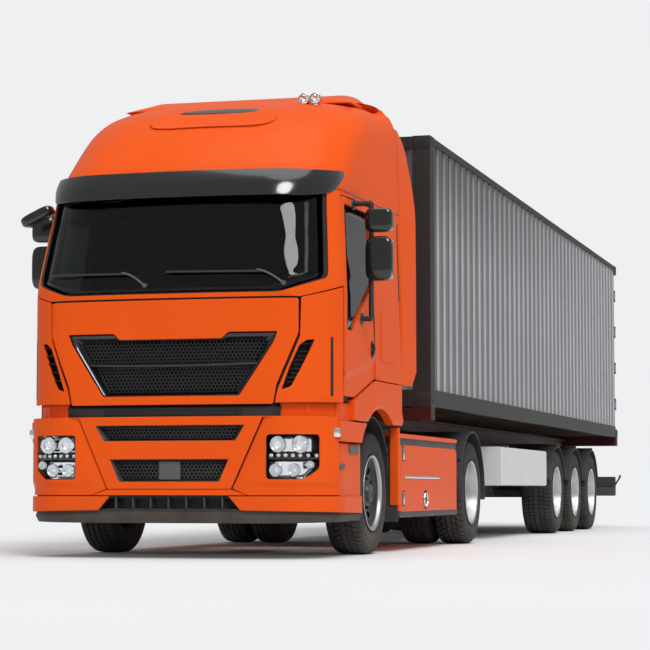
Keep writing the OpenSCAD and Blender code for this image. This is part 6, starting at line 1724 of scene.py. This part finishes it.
def build_stage(stage):
    """Pale floor that fades into the backdrop, soft sun, even sky and the camera of the picture."""
    half = stage.floor_half
    points = np.array([(-half, -half, 0), (half, -half, 0), (half, half, 0), (-half, half, 0)], float)
    mesh = bpy.data.meshes.new("floor")
    mesh.from_pydata(points.tolist(), [], [[0, 1, 2, 3]])
    floor = bpy.data.objects.new("floor", mesh)
    bpy.context.scene.collection.objects.link(floor)
    pale = tuple(stage.backdrop)
    made, tree, shader = new_material("floor_pale")
    dull = tuple(0.92 * c for c in pale) + (1,)
    tone = use_group(tree, "Tone drift", {"Colour": dull, "Scale": 0.4, "Drift": 0.04})
    tree.links.new(tone.outputs["Colour"], shader.inputs["Base Color"])
    shader.inputs["Roughness"].default_value = 0.9
    shader.inputs["Specular IOR Level"].default_value = 0.1
    glow = put(tree, "ShaderNodeEmission", {"Color": (*pale, 1), "Strength": 1.0})
    far = put(tree, "ShaderNodeVectorMath", {0: object_place(tree)}, operation="LENGTH").outputs["Value"]
    seen = put(tree, "ShaderNodeLightPath").outputs["Is Camera Ray"]
    mask = calc(tree, "MULTIPLY", rescale(tree, far, 6.0, 24.0), seen)
    mix = put(tree, "ShaderNodeMixShader", {0: mask, 1: shader.outputs[0], 2: glow.outputs[0]})
    tree.links.new(mix.outputs[0], tree.nodes["Material Output"].inputs["Surface"])
    mesh.materials.append(made)
    world = bpy.data.worlds.new("Studio")
    bpy.context.scene.world = world
    world.use_nodes = True
    tree = world.node_tree
    back = tree.nodes["Background"]
    back.inputs["Color"].default_value = (*pale, 1)
    path = put(tree, "ShaderNodeLightPath").outputs
    direct = calc(tree, "MAXIMUM", path["Is Camera Ray"], path["Is Transmission Ray"])
    tree.links.new(rescale(tree, direct, 0.0, 1.0, stage.ambient, 1.0), back.inputs["Strength"])
    for name, share, angle, turn in (
        ("Key light", 1.0, stage.sun_angle, (math.radians(46), 0.0, math.radians(34))),
        ("Top light", 0.75, 2.4 * stage.sun_angle, (0.0, math.radians(8), 0.0)),
    ):
        sun = bpy.data.lights.new(name, "SUN")
        sun.energy = share * stage.sun
        sun.angle = angle
        lamp = bpy.data.objects.new(name, sun)
        lamp.rotation_euler = turn
        bpy.context.scene.collection.objects.link(lamp)
    view = bpy.data.cameras.new("Camera")
    view.lens = CAMERA_LENS
    view.sensor_width = 36.0
    view.clip_start = 0.1
    view.clip_end = 1000.0
    eye = bpy.data.objects.new("Camera", view)
    across, station, height = CAMERA_AT
    eye.location = (across, ZERO_Y + station, height)
    eye.rotation_euler = (math.pi / 2 + CAMERA_UP, 0.0, CAMERA_ASIDE)
    bpy.context.scene.collection.objects.link(eye)
    bpy.context.scene.camera = eye
    bpy.context.scene.view_settings.view_transform = "Standard"


# Settings, operators and panel


class LorryPanels(bpy.types.PropertyGroup):
    """Sizes of the painted panels."""

    thickness: bpy.props.FloatProperty(
        name="Wall", description="Thickness of the panels", default=0.018, unit="LENGTH")
    rounding: bpy.props.FloatProperty(
        name="Rounding", description="Radius of the panels' edges", default=0.004, unit="LENGTH")


class LorryMesh(bpy.types.PropertyGroup):
    """Sizes of the honeycomb fields."""

    cell: bpy.props.FloatProperty(name="Cell", description="Width of a cell", default=0.034, unit="LENGTH")
    bar: bpy.props.FloatProperty(
        name="Bar", description="Half the bar between cells", default=0.0035, unit="LENGTH")


class LorryWheels(bpy.types.PropertyGroup):
    """Sizes of the wheels."""

    tread: bpy.props.FloatProperty(
        name="Tread", description="Depth of the tread", default=0.012, unit="LENGTH")


class LorryStage(bpy.types.PropertyGroup):
    """Floor, light and backdrop."""

    floor_half: bpy.props.FloatProperty(
        name="Floor", description="Half the floor's width", default=160.0, unit="LENGTH")
    backdrop: bpy.props.FloatVectorProperty(
        name="Backdrop", description="Colour of the floor and backdrop", default=(0.86, 0.87, 0.88),
        subtype="COLOR")
    ambient: bpy.props.FloatProperty(
        name="Sky", description="Strength of the even light", default=0.42, subtype="FACTOR")
    sun: bpy.props.FloatProperty(
        name="Sun", description="Strength of the sun", default=1.7, subtype="UNSIGNED")
    sun_angle: bpy.props.FloatProperty(
        name="Sun width", description="Angle of the sun's disc", default=math.radians(22), subtype="ANGLE")


class LorryOperator:
    """Shared base of the operators: each builds a group of like pieces."""

    bl_options = {"REGISTER", "UNDO"}


class LORRY_OT_flap(LorryOperator, bpy.types.Operator):
    """Builds the lifting front panel and its grille."""

    bl_idname = "lorry.flap"
    bl_label = "Front panel and grille"

    def execute(self, context):
        build_flap(context.scene.lorry_panels, context.scene.lorry_mesh)
        return {"FINISHED"}


class LORRY_OT_screen(LorryOperator, bpy.types.Operator):
    """Builds the windscreen, its surround, the corner panels and the wipers."""

    bl_idname = "lorry.screen"
    bl_label = "Windscreen and corners"

    def execute(self, context):
        build_screen(context.scene.lorry_panels)
        build_wipers()
        return {"FINISHED"}


class LORRY_OT_doors(LorryOperator, bpy.types.Operator):
    """Builds the doors with their windows and handles."""

    bl_idname = "lorry.doors"
    bl_label = "Doors"

    def execute(self, context):
        build_doors(context.scene.lorry_panels)
        return {"FINISHED"}


class LORRY_OT_sides(LorryOperator, bpy.types.Operator):
    """Builds the cab's side panels, jambs and back."""

    bl_idname = "lorry.sides"
    bl_label = "Cab sides and back"

    def execute(self, context):
        build_cab_sides(context.scene.lorry_panels)
        return {"FINISHED"}


class LORRY_OT_roof(LorryOperator, bpy.types.Operator):
    """Builds the roof, its lip, hatch and lamps, and the sun visor."""

    bl_idname = "lorry.roof"
    bl_label = "Roof and visor"

    def execute(self, context):
        build_roof()
        build_visor()
        return {"FINISHED"}


class LORRY_OT_bumper(LorryOperator, bpy.types.Operator):
    """Builds the bumper's panels, slots and lip."""

    bl_idname = "lorry.bumper"
    bl_label = "Bumper"

    def execute(self, context):
        build_bumper(context.scene.lorry_panels, context.scene.lorry_mesh)
        build_bumper_sides(context.scene.lorry_panels)
        return {"FINISHED"}


class LORRY_OT_lamps(LorryOperator, bpy.types.Operator):
    """Builds the headlamps and tail lamps."""

    bl_idname = "lorry.lamps"
    bl_label = "Lamps"

    def execute(self, context):
        build_headlamps()
        return {"FINISHED"}


class LORRY_OT_wheels(LorryOperator, bpy.types.Operator):
    """Builds the tyres and rims of all axles."""

    bl_idname = "lorry.wheels"
    bl_label = "Wheels"

    def execute(self, context):
        build_wheels(context.scene.lorry_wheels)
        return {"FINISHED"}


class LORRY_OT_mirrors(LorryOperator, bpy.types.Operator):
    """Builds the mirrors on the doors."""

    bl_idname = "lorry.mirrors"
    bl_label = "Mirrors"

    def execute(self, context):
        build_mirrors()
        build_kerb_mirror()
        return {"FINISHED"}


class LORRY_OT_inside(LorryOperator, bpy.types.Operator):
    """Builds the seats and the steering wheel."""

    bl_idname = "lorry.inside"
    bl_label = "Inside of the cab"

    def execute(self, context):
        build_inside()
        return {"FINISHED"}


class LORRY_OT_skirts(LorryOperator, bpy.types.Operator):
    """Builds the skirts, fenders, deflectors and lockers."""

    bl_idname = "lorry.skirts"
    bl_label = "Skirts and fenders"

    def execute(self, context):
        build_skirts()
        build_fenders()
        return {"FINISHED"}


class LORRY_OT_chassis(LorryOperator, bpy.types.Operator):
    """Finishes the frame, the axles and the container."""

    bl_idname = "lorry.chassis"
    bl_label = "Chassis and container"

    def execute(self, context):
        build_chassis()
        build_container_trim()
        build_rear_bar()
        return {"FINISHED"}


class LORRY_OT_stage(LorryOperator, bpy.types.Operator):
    """Builds the floor, light, backdrop and camera."""

    bl_idname = "lorry.stage"
    bl_label = "Stage"

    def execute(self, context):
        build_stage(context.scene.lorry_stage)
        return {"FINISHED"}


OPERATORS = (
    LORRY_OT_chassis, LORRY_OT_flap, LORRY_OT_screen, LORRY_OT_doors, LORRY_OT_sides, LORRY_OT_roof,
    LORRY_OT_bumper, LORRY_OT_lamps, LORRY_OT_wheels, LORRY_OT_mirrors, LORRY_OT_inside, LORRY_OT_skirts,
    LORRY_OT_stage,
)
SETTINGS = {
    "lorry_panels": LorryPanels, "lorry_mesh": LorryMesh, "lorry_wheels": LorryWheels,
    "lorry_stage": LorryStage,
}


class LORRY_PT_sidebar(bpy.types.Panel):
    """Lists the building steps in order."""

    bl_idname = "LORRY_PT_sidebar"
    bl_label = "Lorry"
    bl_space_type = "VIEW_3D"
    bl_region_type = "UI"
    bl_category = "Lorry"

    def draw(self, context):
        for step in OPERATORS:
            self.layout.operator(step.bl_idname)


def register():
    """Makes the settings, the steps and the panel known to Blender."""
    for name, kind in SETTINGS.items():
        bpy.utils.register_class(kind)
        setattr(bpy.types.Scene, name, bpy.props.PointerProperty(type=kind))
    for step in (*OPERATORS, LORRY_PT_sidebar):
        bpy.utils.register_class(step)


def unregister():
    """Takes them away again."""
    for step in reversed((*OPERATORS, LORRY_PT_sidebar)):
        bpy.utils.unregister_class(step)
    for name, kind in reversed(SETTINGS.items()):
        delattr(bpy.types.Scene, name)
        bpy.utils.unregister_class(kind)


def main():
    """Runs every step in order."""
    register()
    for step in OPERATORS:
        group, name = step.bl_idname.split(".")
        getattr(getattr(bpy.ops, group), name)()


if __name__ == "__main__":
    main()
